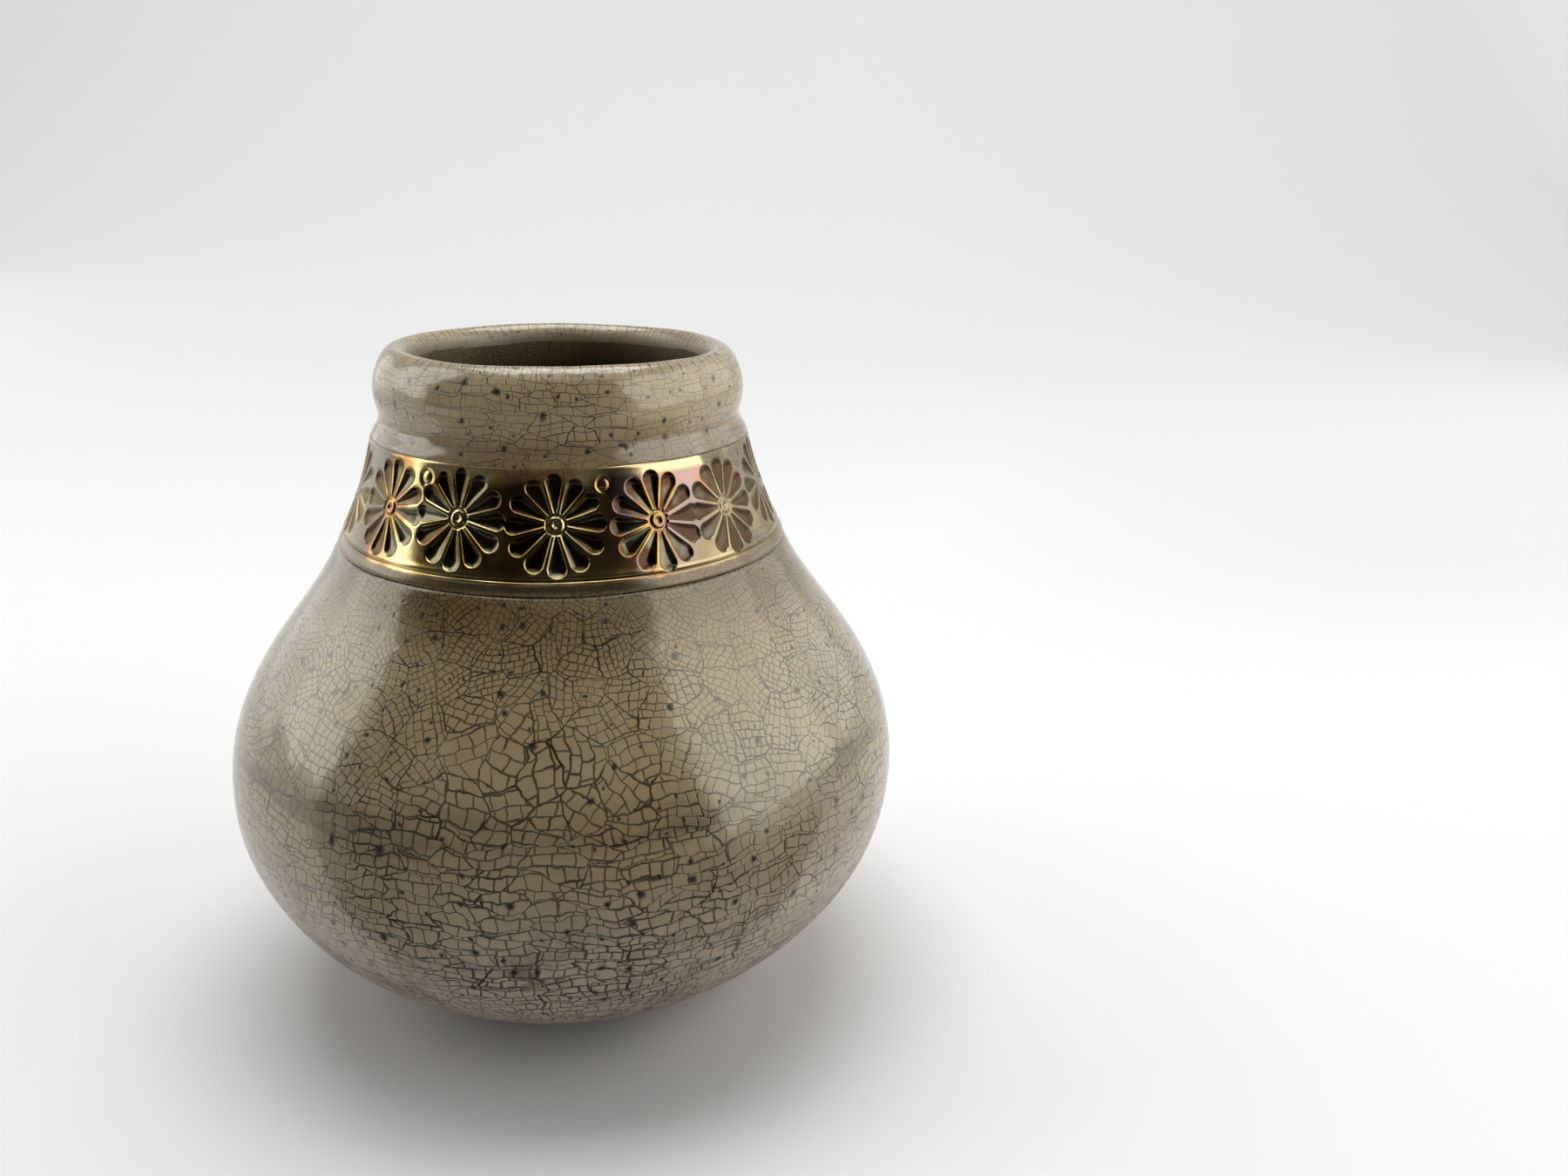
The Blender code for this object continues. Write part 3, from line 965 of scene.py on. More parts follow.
@dataclass(frozen=True)
class Paper:
    """White paper of the sweep, which glows a little where it is seen or mirrored far from the cup.

    The far glow is that of the backdrop and of the floor's ends, and the near glow that of the
    floor at either side of the cup.
    """

    name: str = "sweep_paper"
    white: Colour = (0.880, 0.880, 0.880)
    fibre: Colour = (0.830, 0.830, 0.830)
    fibre_share: float = 0.04
    far_glow: float = 0.83
    far_right: tuple[Span, Span] = ((40.0, 260.0), (10.0, 170.0))
    far_back: Span = (90.0, 420.0)
    far_front: Span = (-450.0, -800.0)
    far_sides: Span = (600.0, 1000.0)
    far_shares: tuple[float, ...] = (0.6, 0.5, 0.9, 0.8)
    near_glow: float = 0.99
    near_left: tuple[Span, Span] = ((-70.0, -150.0), (80.0, 30.0))
    near_right: tuple[Span, Span] = ((60.0, 120.0), (60.0, 0.0))
    near_front: Span = (-300.0, -150.0)
    near_shares: Span = (0.45, 0.6)

    @staticmethod
    def corner(canvas: Canvas, spans: tuple[Span, Span]) -> Wire:
        """One corner of the floor, from a span across it and a span into its depth."""
        return canvas.across.rise(*spans[0]) * canvas.depth.rise(*spans[1])

    def far(self, canvas: Canvas) -> Wire:
        """Where the far glow lies.

        Args:
            canvas: the material to draw on.

        Returns:
            How far it covers, from 0 to 1.
        """
        glow: Wire | float = 0.0
        places = (
            self.corner(canvas, self.far_right),
            canvas.depth.rise(*self.far_back),
            canvas.depth.rise(*self.far_front),
            canvas.across.size().rise(*self.far_sides),
        )
        for place, share in zip(places, self.far_shares):
            glow = (share * place).larger(glow)
        return glow

    def near(self, canvas: Canvas) -> Wire:
        """Where the near glow lies.

        Args:
            canvas: the material to draw on.

        Returns:
            How far it covers, from 0 to 1.
        """
        left = self.near_shares[0] * self.corner(canvas, self.near_left)
        right = self.near_shares[1] * self.corner(canvas, self.near_right)
        return left.larger(right) * canvas.depth.rise(*self.near_front)

    def make(self) -> bpy.types.Material:
        """Build the paper's material.

        Returns:
            The finished material.
        """
        canvas = Canvas(self.name)
        seen = canvas.seen()
        paper = canvas.wire(canvas.shader, "BSDF")
        glows = (self.near(canvas), self.near_glow), (self.far(canvas), self.far_glow)
        for share, strength in glows:
            glow = canvas.node("ShaderNodeEmission", {}, {"Strength": strength})
            inputs = {0: share * seen, 1: paper, 2: canvas.wire(glow, "Emission")}
            paper = canvas.wire(canvas.node("ShaderNodeMixShader", {}, inputs), "Shader")
        canvas.feed(canvas.output.inputs["Surface"], paper)
        fibre = canvas.noise(30.0) * self.fibre_share
        return canvas.paint(
            Base_Color=canvas.blend(fibre, self.white, self.fibre),
            Roughness=0.9,
            Specular_IOR_Level=0.1,
        )


@dataclass(frozen=True)
class Cloth:
    """Black cloth of the flag behind the camera."""

    name: str = "flag_cloth"
    black: Colour = (0.020, 0.019, 0.017)
    nap: Colour = (0.030, 0.028, 0.025)

    def make(self) -> bpy.types.Material:
        """Build the cloth's material.

        Returns:
            The finished material.
        """
        canvas = Canvas(self.name)
        colour = canvas.blend(canvas.noise(12.0, 2.0), self.black, self.nap)
        return canvas.paint(Base_Color=colour, Roughness=1.0, Specular_IOR_Level=0.0)


class Bench:
    """Modelling steps that the pieces share."""

    @staticmethod
    def start() -> None:
        """Leave edit mode and deselect everything."""
        if bpy.context.object and bpy.context.object.mode != "OBJECT":
            bpy.ops.object.mode_set(mode="OBJECT")
        bpy.ops.object.select_all(action="DESELECT")

    @classmethod
    def pick(cls, piece: bpy.types.Object) -> None:
        """Select one piece and make it active.

        Args:
            piece: the piece.
        """
        cls.start()
        piece.select_set(True)
        bpy.context.view_layer.objects.active = piece

    @staticmethod
    def edit() -> None:
        """Go into edit mode with everything selected."""
        bpy.ops.object.mode_set(mode="EDIT")
        bpy.ops.mesh.select_all(action="SELECT")

    @staticmethod
    def close(weld: float) -> None:
        """Merge doubles, face everything out and leave edit mode.

        Args:
            weld: how near doubles lie, in metres.
        """
        bpy.ops.mesh.select_all(action="SELECT")
        bpy.ops.mesh.remove_doubles(threshold=weld)
        bpy.ops.mesh.normals_make_consistent(inside=False)
        bpy.ops.object.mode_set(mode="OBJECT")

    @staticmethod
    def curve(start: Span, start_pull: Span, end_pull: Span, end: Span, steps: int) -> Outline:
        """Points along a cubic curve.

        Args:
            start: first point, as radius and height.
            start_pull: its handle, from the point.
            end_pull: the last point's handle, from the point.
            end: last point.
            steps: number of stretches.

        Returns:
            The points, both ends included.
        """
        t = np.linspace(0.0, 1.0, steps + 1)[:, None]
        first, last = np.array(start), np.array(end)
        points = (
            (1 - t) ** 3 * first
            + 3 * t * (1 - t) ** 2 * (first + np.array(start_pull))
            + 3 * t * t * (1 - t) * (last + np.array(end_pull))
            + t ** 3 * last
        )
        return [tuple(point) for point in points.tolist()]

    @classmethod
    def turn(cls, name: str, outline: Outline, steps: int) -> bpy.types.Object:
        """Draw an outline by extruding one point, then spin it round the cup's axis.

        Args:
            name: the piece's name.
            outline: points as radius and height; a ring's outline ends where it starts.
            steps: stretches in one turn.

        Returns:
            The piece, closed and facing out.
        """
        cls.start()
        bpy.ops.mesh.primitive_plane_add(size=MM, location=(0.0, 0.0, 0.0))
        piece = bpy.context.object
        piece.name = name
        cls.edit()
        bpy.ops.mesh.merge(type="CENTER")
        bpy.ops.transform.translate(value=(outline[0][0] * MM, 0.0, outline[0][1] * MM))
        for (radius, height), (next_radius, next_height) in zip(outline, outline[1:]):
            step = ((next_radius - radius) * MM, 0.0, (next_height - height) * MM)
            bpy.ops.mesh.extrude_vertices_move(TRANSFORM_OT_translate={"value": step})
        bpy.ops.mesh.select_all(action="SELECT")
        bpy.ops.mesh.remove_doubles(threshold=WELD)
        bpy.ops.mesh.spin(
            steps=steps, angle=2 * math.pi, center=(0.0, 0.0, 0.0), axis=(0.0, 0.0, 1.0)
        )
        cls.close(2 * WELD)
        cls.measure_climb(piece, outline)
        return piece

    @classmethod
    def measure_climb(cls, piece: bpy.types.Object, outline: Outline) -> None:
        """Keep at each point how far it lies above the widest line, at the scale of the belly.

        Args:
            piece: a freshly turned piece.
            outline: the outline that it was turned from.
        """
        least_radius = 6.0
        line = np.array(outline)
        steps = np.hypot(*np.diff(line, axis=0).T)
        radii = np.maximum((line[1:, 0] + line[:-1, 0]) / 2, least_radius)
        climb = np.concatenate([[0.0], np.cumsum(steps / radii)]) * GIRTH
        climb -= climb[line[:, 0].argmax()]
        points = np.array([vertex.co for vertex in piece.data.vertices]) / MM
        radius = np.hypot(points[:, 0], points[:, 1])
        gap = np.hypot(radius[:, None] - line[None, :, 0], points[:, 2, None] - line[None, :, 1])
        cls.mark(piece, "climb", climb[gap.argmin(axis=1)])

    @staticmethod
    def mark(piece: bpy.types.Object, name: str, values: np.ndarray) -> None:
        """Keep a value at each point of a piece, for its finish to read."""
        attribute = piece.data.attributes.new(name, "FLOAT", "POINT")
        attribute.data.foreach_set("value", values.astype(np.float32))

    @classmethod
    def apply(cls, piece: bpy.types.Object, kind: str, **settings: object) -> None:
        """Give a piece a modifier and apply it.

        Args:
            piece: the piece.
            kind: the modifier's type.
            settings: its attributes.
        """
        cls.pick(piece)
        modifier = piece.modifiers.new(kind.lower(), kind)
        for key, value in settings.items():
            setattr(modifier, key, value)
        bpy.ops.object.modifier_apply(modifier=modifier.name)

    @classmethod
    def unsteady(cls, piece: bpy.types.Object, depth: float, grain: float) -> None:
        """Give a piece the slight unevenness of hand throwing.

        Args:
            piece: the piece.
            depth: height of the waves.
            grain: width of the waves.
        """
        waves = bpy.data.textures.new(f"{piece.name}_waves", "CLOUDS")
        waves.noise_scale = grain * MM
        waves.noise_depth = 1
        settings = {"texture_coords": "LOCAL", "strength": depth * MM, "mid_level": 0.5}
        cls.apply(piece, "DISPLACE", texture=waves, **settings)

    @classmethod
    def shade(cls, piece: bpy.types.Object, angle: float) -> None:
        """Shade a piece smooth up to an angle in degrees."""
        cls.pick(piece)
        bpy.ops.object.shade_smooth_by_angle(angle=math.radians(angle))


@dataclass(frozen=True)
class Solid:
    """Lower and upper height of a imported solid, and its radius."""

    low: float
    high: float
    radius: float

    @classmethod
    def of(cls, node: str) -> "Solid":
        """Measure a solid by its box."""
        low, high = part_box(node)
        return cls(low[2] / MM, high[2] / MM, high[0] / MM)


@dataclass(frozen=True)
class Levels:
    """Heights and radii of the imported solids, and of what lies inside them."""

    foot: Solid = Solid.of("foot_ring")
    belly: Solid = Solid.of("belly")
    shoulder: Solid = Solid.of("shoulder")
    fillet: Solid = Solid.of("border_fillet")
    band: Solid = Solid.of("daisy_band")
    collar: Solid = Solid.of("collar_bead")
    rim: Solid = Solid.of("rim_roll")
    neck_radius: float = 29.2
    band_taper: float = 4.3
    band_thickness: float = 1.8
    groove_radius: float = 22.9
    mouth_radius: float = 18.0
    bore_radius: float = 18.3
    ledge_drop: float = 0.15

    @property
    def fillet_joint(self) -> float:
        """Height of the incised line under the fillet."""
        return self.fillet.low - self.ledge_drop

    @property
    def band_joint(self) -> float:
        """Height of the incised line between the fillet and the band."""
        return (self.fillet.high + self.band.low) / 2

    @property
    def collar_joint(self) -> float:
        """Height of the incised line between the band and the collar."""
        return (self.band.high + self.collar.low) / 2

    @property
    def rim_joint(self) -> float:
        """Height of the groove under the rim."""
        return (self.collar.high + self.rim.low) / 2

    def seat(self, height: float) -> float:
        """Inner radius, at a height, of the pieces on the spigot."""
        share = (height - self.band.low) / (self.band.high - self.band.low)
        return self.band.radius - self.band_taper * share - self.band_thickness


@dataclass
class Piece:
    """One visible piece, which rides on the cup and stands for its solids."""

    levels: Levels
    name: str = ""
    nodes: tuple[str, ...] = ()
    slot: Slot = Slot.GLAZE
    turns: int = 96
    rounding: int = 2
    waves: Span = (0.40, 14.0)
    crease: float = 50.0
    piece: bpy.types.Object | None = field(default=None, init=False)

    def outline(self) -> Outline:
        """Half section of the piece, as radius and height."""
        raise NotImplementedError

    def build(self) -> None:
        """Turn the piece from its outline and give it a hand-thrown skin."""
        self.piece = Bench.turn(self.name, self.outline(), self.turns)
        Bench.apply(self.piece, "SUBSURF", levels=self.rounding, render_levels=self.rounding)
        Bench.unsteady(self.piece, *self.waves)
        Bench.shade(self.piece, self.crease)

    def inside(self, centre: Vector, normal: Vector) -> bool:
        """Whether a face of the piece, in metres, gets the second material."""
        return False

    def dress(self, *materials: bpy.types.Material) -> None:
        """Give the piece its materials and hand it to the frame.

        Args:
            materials: the finish, and one for the inside where the piece has an inside.
        """
        for material in materials:
            self.piece.data.materials.append(material)
        for polygon in self.piece.data.polygons:
            if self.inside(polygon.center, polygon.normal):
                polygon.material_index = 1
        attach(self.piece, BODY)
        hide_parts(*self.nodes)
        log.info("%s stands for %s", self.piece.name, ", ".join(self.nodes))


@dataclass
class Vessel(Piece):
    """The thrown body: belly, shoulder and the spigot of the neck, under one skin of glaze."""

    name: str = "vessel"
    nodes: tuple[str, ...] = ("belly", "shoulder")
    rounding: int = 1
    waves: Span = (0.35, 22.0)
    wall: float = 5.0
    floor: float = 6.0
    floor_radius: float = 17.0
    foot_seat: float = 0.8
    foot_inner: float = 13.3
    foot_land: float = 1.0
    slip: float = 0.3
    low_pull: float = 8.0
    belly_pull: float = 16.5
    bowl_pull: float = 11.5
    shoulder_pull: float = 15.3
    inner_pull: float = 13.0
    neck_pull: Span = (4.47, -10.4)
    ledge_edge: Span = (0.22, 0.08)
    ledge_rise: float = 0.10
    spigot_rise: float = 0.4
    bore_easing: float = 0.2
    liner_rise: float = 0.6
    floor_level: float = 0.9
    floor_reach: float = 4.0
    spigot_margin: float = 0.1
    outer_steps: int = 14
    inner_steps: int = 10

    def outline(self) -> Outline:
        """Half section of the vessel, from the middle of the underside round to the floor.

        Returns:
            Points as radius and height.
        """
        at, slip = self.levels, self.slip
        base, seam, top = at.belly.low, at.belly.high, at.shoulder.high
        seat_radius, seat = at.foot.radius + slip, base + self.foot_seat
        ledge, floor = at.fillet_joint, base + self.floor
        inner_belly, inner_neck = at.belly.radius - self.wall, at.neck_radius - self.wall
        under = [
            (0.0, base),
            (self.foot_inner - 2 * slip, base),
            (self.foot_inner, base),
            (self.foot_inner, seat),
            (seat_radius, seat),
            (seat_radius, base),
        ]
        belly = Bench.curve(
            (at.foot.radius + self.foot_land, base),
            (self.low_pull, 0.0),
            (0.0, -self.belly_pull),
            (at.belly.radius, seam),
            self.outer_steps,
        )
        shoulder = Bench.curve(
            belly[-1],
            (0.0, self.shoulder_pull),
            self.neck_pull,
            (at.neck_radius, ledge),
            self.outer_steps,
        )
        spigot = [
            (at.neck_radius - self.ledge_edge[0], ledge + self.ledge_edge[1]),
            (at.seat(ledge), ledge + self.ledge_rise),
            (at.seat(ledge) - slip, ledge + self.spigot_rise),
            (at.seat(top) - slip, top - slip),
            (at.seat(top) - 2 * slip, top),
            (at.bore_radius + self.bore_easing, top),
            (at.bore_radius, top - self.bore_easing),
        ]
        neck = Bench.curve(
            (inner_neck, ledge),
            self.neck_pull,
            (0.0, self.inner_pull),
            (inner_belly, seam),
            self.inner_steps,
        )
        bowl = Bench.curve(
            neck[-1],
            (0.0, -self.bowl_pull),
            (self.low_pull, 0.0),
            (self.floor_radius, floor),
            self.inner_steps,
        )
        return under + belly + shoulder[1:] + spigot + neck + bowl[1:] + [(0.0, floor)]

    def inside(self, centre: Vector, normal: Vector) -> bool:
        """Whether a face lies on the inner wall, which faces the axis, or on the floor.

        Args:
            centre: the middle of the face, in metres.
            normal: the way it faces.

        Returns:
            True for the faces that the liner covers.
        """
        height, radius = centre.z / MM, centre.xy.length / MM
        above = height > self.levels.belly.low + self.liner_rise * self.floor
        inner = above and centre.xy.dot(normal.xy) < 0.0
        floor = normal.z > self.floor_level and radius < self.floor_radius + self.floor_reach
        return (inner or floor) and height < self.levels.shoulder.high - self.spigot_margin


@dataclass
class Lip(Piece):
    """The thick rolled lip and the soft collar under it, which one coat of glaze runs over."""

    name: str = "lip"
    nodes: tuple[str, ...] = ("rim_roll", "collar_bead")
    groove_fill: float = 0.15
    groove_rise: float = 0.2
    widest_height: float = 3.3
    crest_inset: float = 2.6
    collar_start: Span = (0.02, -0.12)
    collar_pull: Span = (-0.14, 0.92)
    groove_pulls: Span = (-1.0, 1.1)
    widest_pull: float = -1.5
    side_pull: float = 3.0
    crest_pull: float = 1.3
    seat_gap: float = 0.1
    seat_easing: float = 0.2
    collar_lap: Span = (-0.5, -0.14)
    bore_margin: float = 0.5
    low_steps: int = 6
    roll_steps: int = 8

    def outline(self) -> Outline:
        """Half section of the lip, up the outside, over the crest and down the bore.

        Returns:
            Points as radius and height, the last the same as the first.
        """
        at = self.levels
        foot, line, end = at.band.radius - at.band_taper, at.collar_joint, at.shoulder.high
        dip = (at.groove_radius + self.groove_fill, at.rim_joint + self.groove_rise)
        widest = (at.rim.radius, at.rim.low + self.widest_height)
        crest = (at.mouth_radius + self.crest_inset, at.rim.high)
        mouth = (at.mouth_radius, widest[1])
        under, above = ((0.0, pull) for pull in self.groove_pulls)
        up, out = (0.0, self.side_pull), (self.crest_pull, 0.0)
        start = (foot + self.collar_start[0], line + self.collar_start[1])
        collar = Bench.curve(start, self.collar_pull, under, dip, self.low_steps)
        side = Bench.curve(dip, above, (0.0, self.widest_pull), widest, self.low_steps)
        over = Bench.curve(widest, up, out, crest, self.roll_steps)
        down = Bench.curve(crest, (-self.crest_pull, 0.0), up, mouth, self.roll_steps)
        seat = [
            (at.bore_radius, end + self.seat_gap),
            (at.seat(end) - self.seat_easing, end + self.seat_gap),
            (at.seat(line), line),
            (foot + self.collar_lap[0], line + self.collar_lap[1]),
        ]
        return collar + side[1:] + over[1:] + down[1:] + seat + collar[:1]

    def inside(self, centre: Vector, normal: Vector) -> bool:
        """Whether a face lies in the bore."""
        return centre.xy.length / MM < self.levels.mouth_radius + self.bore_margin


@dataclass
class Fillet(Piece):
    """The plain coil under the daisies, with a rounded face and eased edges."""

    name: str = "fillet"
    nodes: tuple[str, ...] = ("border_fillet",)
    waves: Span = (0.18, 9.0)
    crease: float = 70.0
    line: float = 0.05
    bulge: float = 0.14
    shoulder: float = 0.22
    edge: float = 0.1
    depth: float = 0.5
    steps: int = 7

    def outline(self) -> Outline:
        """Half section of the coil, up its face and round its back.

        Returns:
            Points as radius and height, the last the same as the first.
        """
        at = self.levels
        low, high = at.fillet_joint + self.line, at.band_joint
        low_radius, high_radius = at.neck_radius, at.band.radius
        out, up = self.bulge + self.edge, self.shoulder * (high - low) - self.line
        face = Bench.curve(
            (low_radius - self.edge, low + self.line),
            (out, up),
            (out, -up),
            (high_radius - self.edge, high - self.line),
            self.steps,
        )
        back = [
            (high_radius - self.depth, high),
            (at.seat(high), high),
            (at.seat(low), low),
            (low_radius - self.depth, low),
        ]
        return face + back + face[:1]


@dataclass
class Foot(Piece):
    """The bare clay ring that the cup stands on."""

    name: str = "foot"
    nodes: tuple[str, ...] = ("foot_ring",)
    slot: Slot = Slot.CLAY
    crease: float = 40.0
    inner_radius: float = 13.6
    edge: float = 0.4
    easing: float = 0.15

    def outline(self) -> Outline:
        """Half section of the ring.

        Returns:
            Points as radius and height, the last the same as the first.
        """
        outer, inner, top = self.levels.foot.radius, self.inner_radius, self.levels.foot.high
        return [
            (outer, top),
            (outer, self.edge),
            (outer - self.edge, 0.0),
            (inner + self.edge, 0.0),
            (inner, self.edge),
            (inner, top),
            (outer, top),
        ]

    def build(self) -> None:
        """Turn the ring and ease its edges."""
        self.piece = Bench.turn(self.name, self.outline(), self.turns)
        Bench.apply(self.piece, "BEVEL", width=self.easing * MM, segments=2, limit_method="ANGLE")
        Bench.shade(self.piece, self.crease)


@dataclass(frozen=True)
class Stamp:
    """One daisy stamp: a ring of hollow petals round a dimpled button."""

    petals: int = 12
    root: float = 1.50
    tip: float = 4.86
    root_half: float = 0.25
    tip_half: float = 1.06
    depth: float = 0.28
    root_share: float = 0.7
    bowl: float = 1.00
    button_groove: float = 1.08
    button_depth: float = 0.24
    groove_width: float = 0.17
    dimple: float = 0.46
    dimple_depth: float = 0.22
    reach: float = 6.6

    def petal_distance(
        self, x: np.ndarray, y: np.ndarray, turn: float
    ) -> tuple[np.ndarray, np.ndarray]:
        """Distance to the nearest petal's outline.

        Args:
            x: distance round the neck from the daisy's middle.
            y: distance up the strip from its middle.
            turn: how far the stamp was turned, in radians.

        Returns:
            The distance, below 0 inside a petal, and the share of the way along that petal.
        """
        pitch = 2 * math.pi / self.petals
        reach = np.hypot(x, y)
        lean = np.mod(np.arctan2(y, x) - turn + pitch / 2, pitch) - pitch / 2
        along = reach * np.cos(lean) - self.root
        aside = np.abs(reach * np.sin(lean))
        length = self.tip - self.root
        slope = (self.root_half - self.tip_half) / length
        square = math.sqrt(1 - slope * slope)
        side = -slope * aside + square * along
        root = np.hypot(aside, along) - self.root_half
        tip = np.hypot(aside, along - length) - self.tip_half
        flank = square * aside + slope * along - self.root_half
        near = np.where(side < 0.0, root, np.where(side > square * length, tip, flank))
        return near, np.clip(along / length, 0.0, 1.0)

    def press(self, x: np.ndarray, y: np.ndarray, turn: float) -> tuple[np.ndarray, np.ndarray]:
        """Press the stamp into the clay.

        Args:
            x: distance round the neck from the daisy's middle.
            y: distance up the strip from its middle.
            turn: how far the stamp was turned, in radians.

        Returns:
            The depth of the clay and the distance to the nearest petal's outline.
        """
        near, along = self.petal_distance(x, y, turn)
        bowl = np.clip(-near / self.bowl, 0.0, 1.0)
        petal = self.depth * (self.root_share + (1 - self.root_share) * along) * bowl * (2 - bowl)
        reach = np.hypot(x, y)
        aside = (reach - self.button_groove) / self.groove_width
        groove = self.button_depth * np.exp(-aside ** 2)
        dimple = self.dimple_depth * np.clip(1 - (reach / self.dimple) ** 2, 0.0, 1.0)
        pressed = np.maximum(petal, np.maximum(groove, dimple))
        return np.where(reach < self.reach, pressed, 0.0), near


@dataclass
class DaisyBand(Piece):
    """The stamped strip round the neck.

    The relief is worked out point by point on a grid that is wrapped round the strip, because
    neighbouring stamps press into each other and no edit-mode step gives such a surface.
    Each daisy has a shift round the neck, in degrees, and a lift up the strip.
    """

    name: str = "daisies"
    nodes: tuple[str, ...] = ("daisy_band",)
    slot: Slot = Slot.LUSTRE
    stamp: Stamp = Stamp()
    first: float = math.radians(-92.7)
    shifts: tuple[float, ...] = (
        0.0, 1.0, -1.0, -0.7, 0.4, -0.8, 1.1, -0.5, 0.6, -1.2, 0.9, 2.2, 1.7, 0.1
    )
    lifts: tuple[float, ...] = (
        -0.09, -0.40, -0.42, 0.30, 0.1, -0.2, 0.25, -0.1, 0.2, -0.3, 0.1, -0.2, -0.13, 0.16
    )
    seed: int = 7
    turn_range: Span = (-0.08, 0.08)
    force_range: Span = (0.88, 1.08)
    columns: int = 1008
    face_rows: int = 76
    back_rows: int = 4
    hollow: float = 0.42
    edge: float = 0.35
    edge_depth: float = 0.16
    bead: float = 0.08
    bead_width: float = 0.30
    bead_inset: float = 1.6
    ring_height: float = 4.3
    ring_radius: float = 0.75
    ring_width: float = 0.22
    ring_depth: float = 0.15
    far_edge: float = 1.0

    def build(self) -> None:
        """Wrap a grid round the strip, press the daisies into it and close it."""
        Bench.start()
        rows = self.face_rows + self.back_rows
        bpy.ops.mesh.primitive_grid_add(x_subdivisions=self.columns, y_subdivisions=rows, size=1.0)
        self.piece = bpy.context.object
        self.piece.name = self.name
        mesh = self.piece.data
        flat = np.empty(3 * len(mesh.vertices), dtype=np.float32)
        mesh.vertices.foreach_get("co", flat)
        flat = flat.reshape(-1, 3)
        column = np.rint((flat[:, 0] + 0.5) * self.columns).astype(int) % self.columns
        row = np.rint((flat[:, 1] + 0.5) * rows).astype(int) % rows
        angle, share, depth, edge = self.strip()
        points = self.shape(angle, share, depth) * MM
        mesh.vertices.foreach_set("co", points[column, row].astype(np.float32).ravel())
        edge = np.pad(edge, ((0, 0), (0, self.back_rows)), mode="edge")
        Bench.mark(self.piece, "edge", edge[column, row])
        Bench.mark(self.piece, "climb", row * self.row_climb())
        mesh.update()
        Bench.pick(self.piece)
        Bench.edit()
        Bench.close(WELD)
        bpy.ops.object.shade_smooth()

    def row_climb(self) -> float:
        """How far one row lies above the next.

        Returns:
            The distance, at the scale of the belly.
        """
        at = self.levels
        length = math.hypot(at.band.high - at.band.low, at.band_taper)
        return length / (at.band.radius - at.band_taper / 2) * GIRTH / (self.face_rows - 1)

    def strip(self) -> tuple[np.ndarray, ...]:
        """Press the stamps into the strip's face.

        Returns:
            The angle round the neck, the share up the strip, and the depth and the distance to the
            nearest petal's outline of each face point.
        """
        at = self.levels
        half = math.hypot(at.band.high - at.band.low, at.band_taper) / 2
        middle = at.band.radius - at.band_taper / 2 - self.hollow
        angle = np.linspace(0.0, 2 * math.pi, self.columns, endpoint=False)[:, None]
        share = np.linspace(0.0, 1.0, self.face_rows)[None, :]
        up = (share - 0.5) * 2 * half
        depth = np.zeros((self.columns, self.face_rows))
        edge = np.full_like(depth, self.far_edge)
        draw = np.random.default_rng(self.seed)
        pitch = 2 * math.pi / len(self.shifts)
        for daisy, (shift, lift) in enumerate(zip(self.shifts, self.lifts)):
            centre = self.first + daisy * pitch + math.radians(shift)
            away = np.mod(angle - centre + math.pi, 2 * math.pi) - math.pi
            turn = draw.uniform(*self.turn_range)
            force = draw.uniform(*self.force_range)
            pressed, near = self.stamp.press(away * middle, up - lift, turn)
            depth = np.maximum(depth, pressed * force)
            edge = np.minimum(edge, near)
            if daisy % 2 == 0:
                depth = np.maximum(depth, self.ring((away - pitch / 2) * middle, up))
        rim = np.clip((np.abs(up) - (half - self.edge)) / self.edge, 0.0, 1.0)
        depth = depth * (1 - 0.5 * rim) + self.edge_depth * rim ** 2
        beside = (up + half) / self.bead_width - self.bead_inset
        depth = depth - self.bead * np.exp(-beside ** 2)
        return angle, share, depth, edge

    def ring(self, x: np.ndarray, up: np.ndarray) -> np.ndarray:
        """Depth of the small ring that is stamped between two daisies, near the top."""
        reach = np.hypot(x, up - self.ring_height)
        return self.ring_depth * np.exp(-((reach - self.ring_radius) / self.ring_width) ** 2)

    def shape(self, angle: np.ndarray, share: np.ndarray, depth: np.ndarray) -> np.ndarray:
        """Turn depths into points.

        Args:
            angle: angle round the neck of each column.
            share: share up the strip of each face row.
            depth: depth below the face.

        Returns:
            The points of the closed strip, column by column.
        """
        at = self.levels
        base, rise = at.band_joint, at.collar_joint - at.band_joint
        face = at.band.radius - at.band_taper * share - 4 * self.hollow * share * (1 - share)
        slope = -at.band_taper - 4 * self.hollow * (1 - 2 * share)
        length = np.hypot(rise, slope)
        back = np.linspace(1.0, 0.0, self.back_rows)[None, :] + 0 * angle
        back_radius = at.band.radius - at.band_taper * back - at.band_thickness
        radius = np.concatenate([face - depth * rise / length, back_radius], axis=1)
        height = np.concatenate([share * rise + depth * slope / length, rise * back], axis=1)
        return np.stack([radius * np.cos(angle), radius * np.sin(angle), base + height], axis=-1)


@dataclass(frozen=True)
class Panel:
    """One soft panel, in metres. A radiance of 1 looks white."""

    name: str
    place: Point
    size: Span
    radiance: float
    aim: Point = (0.0, 0.0, 0.045)

    def hang(self) -> None:
        """Hang the panel, facing its aim and out of the camera's sight."""
        lamp = bpy.data.lights.new(self.name, "AREA")
        lamp.shape = "RECTANGLE"
        lamp.size, lamp.size_y = self.size
        lamp.energy = self.radiance * math.pi * self.size[0] * self.size[1]
        panel = bpy.data.objects.new(self.name, lamp)
        bpy.context.collection.objects.link(panel)
        panel.location = self.place
        way = Vector(self.aim) - Vector(self.place)
        panel.rotation_euler = way.to_track_quat("-Z", "Y").to_euler()
        panel.visible_camera = False


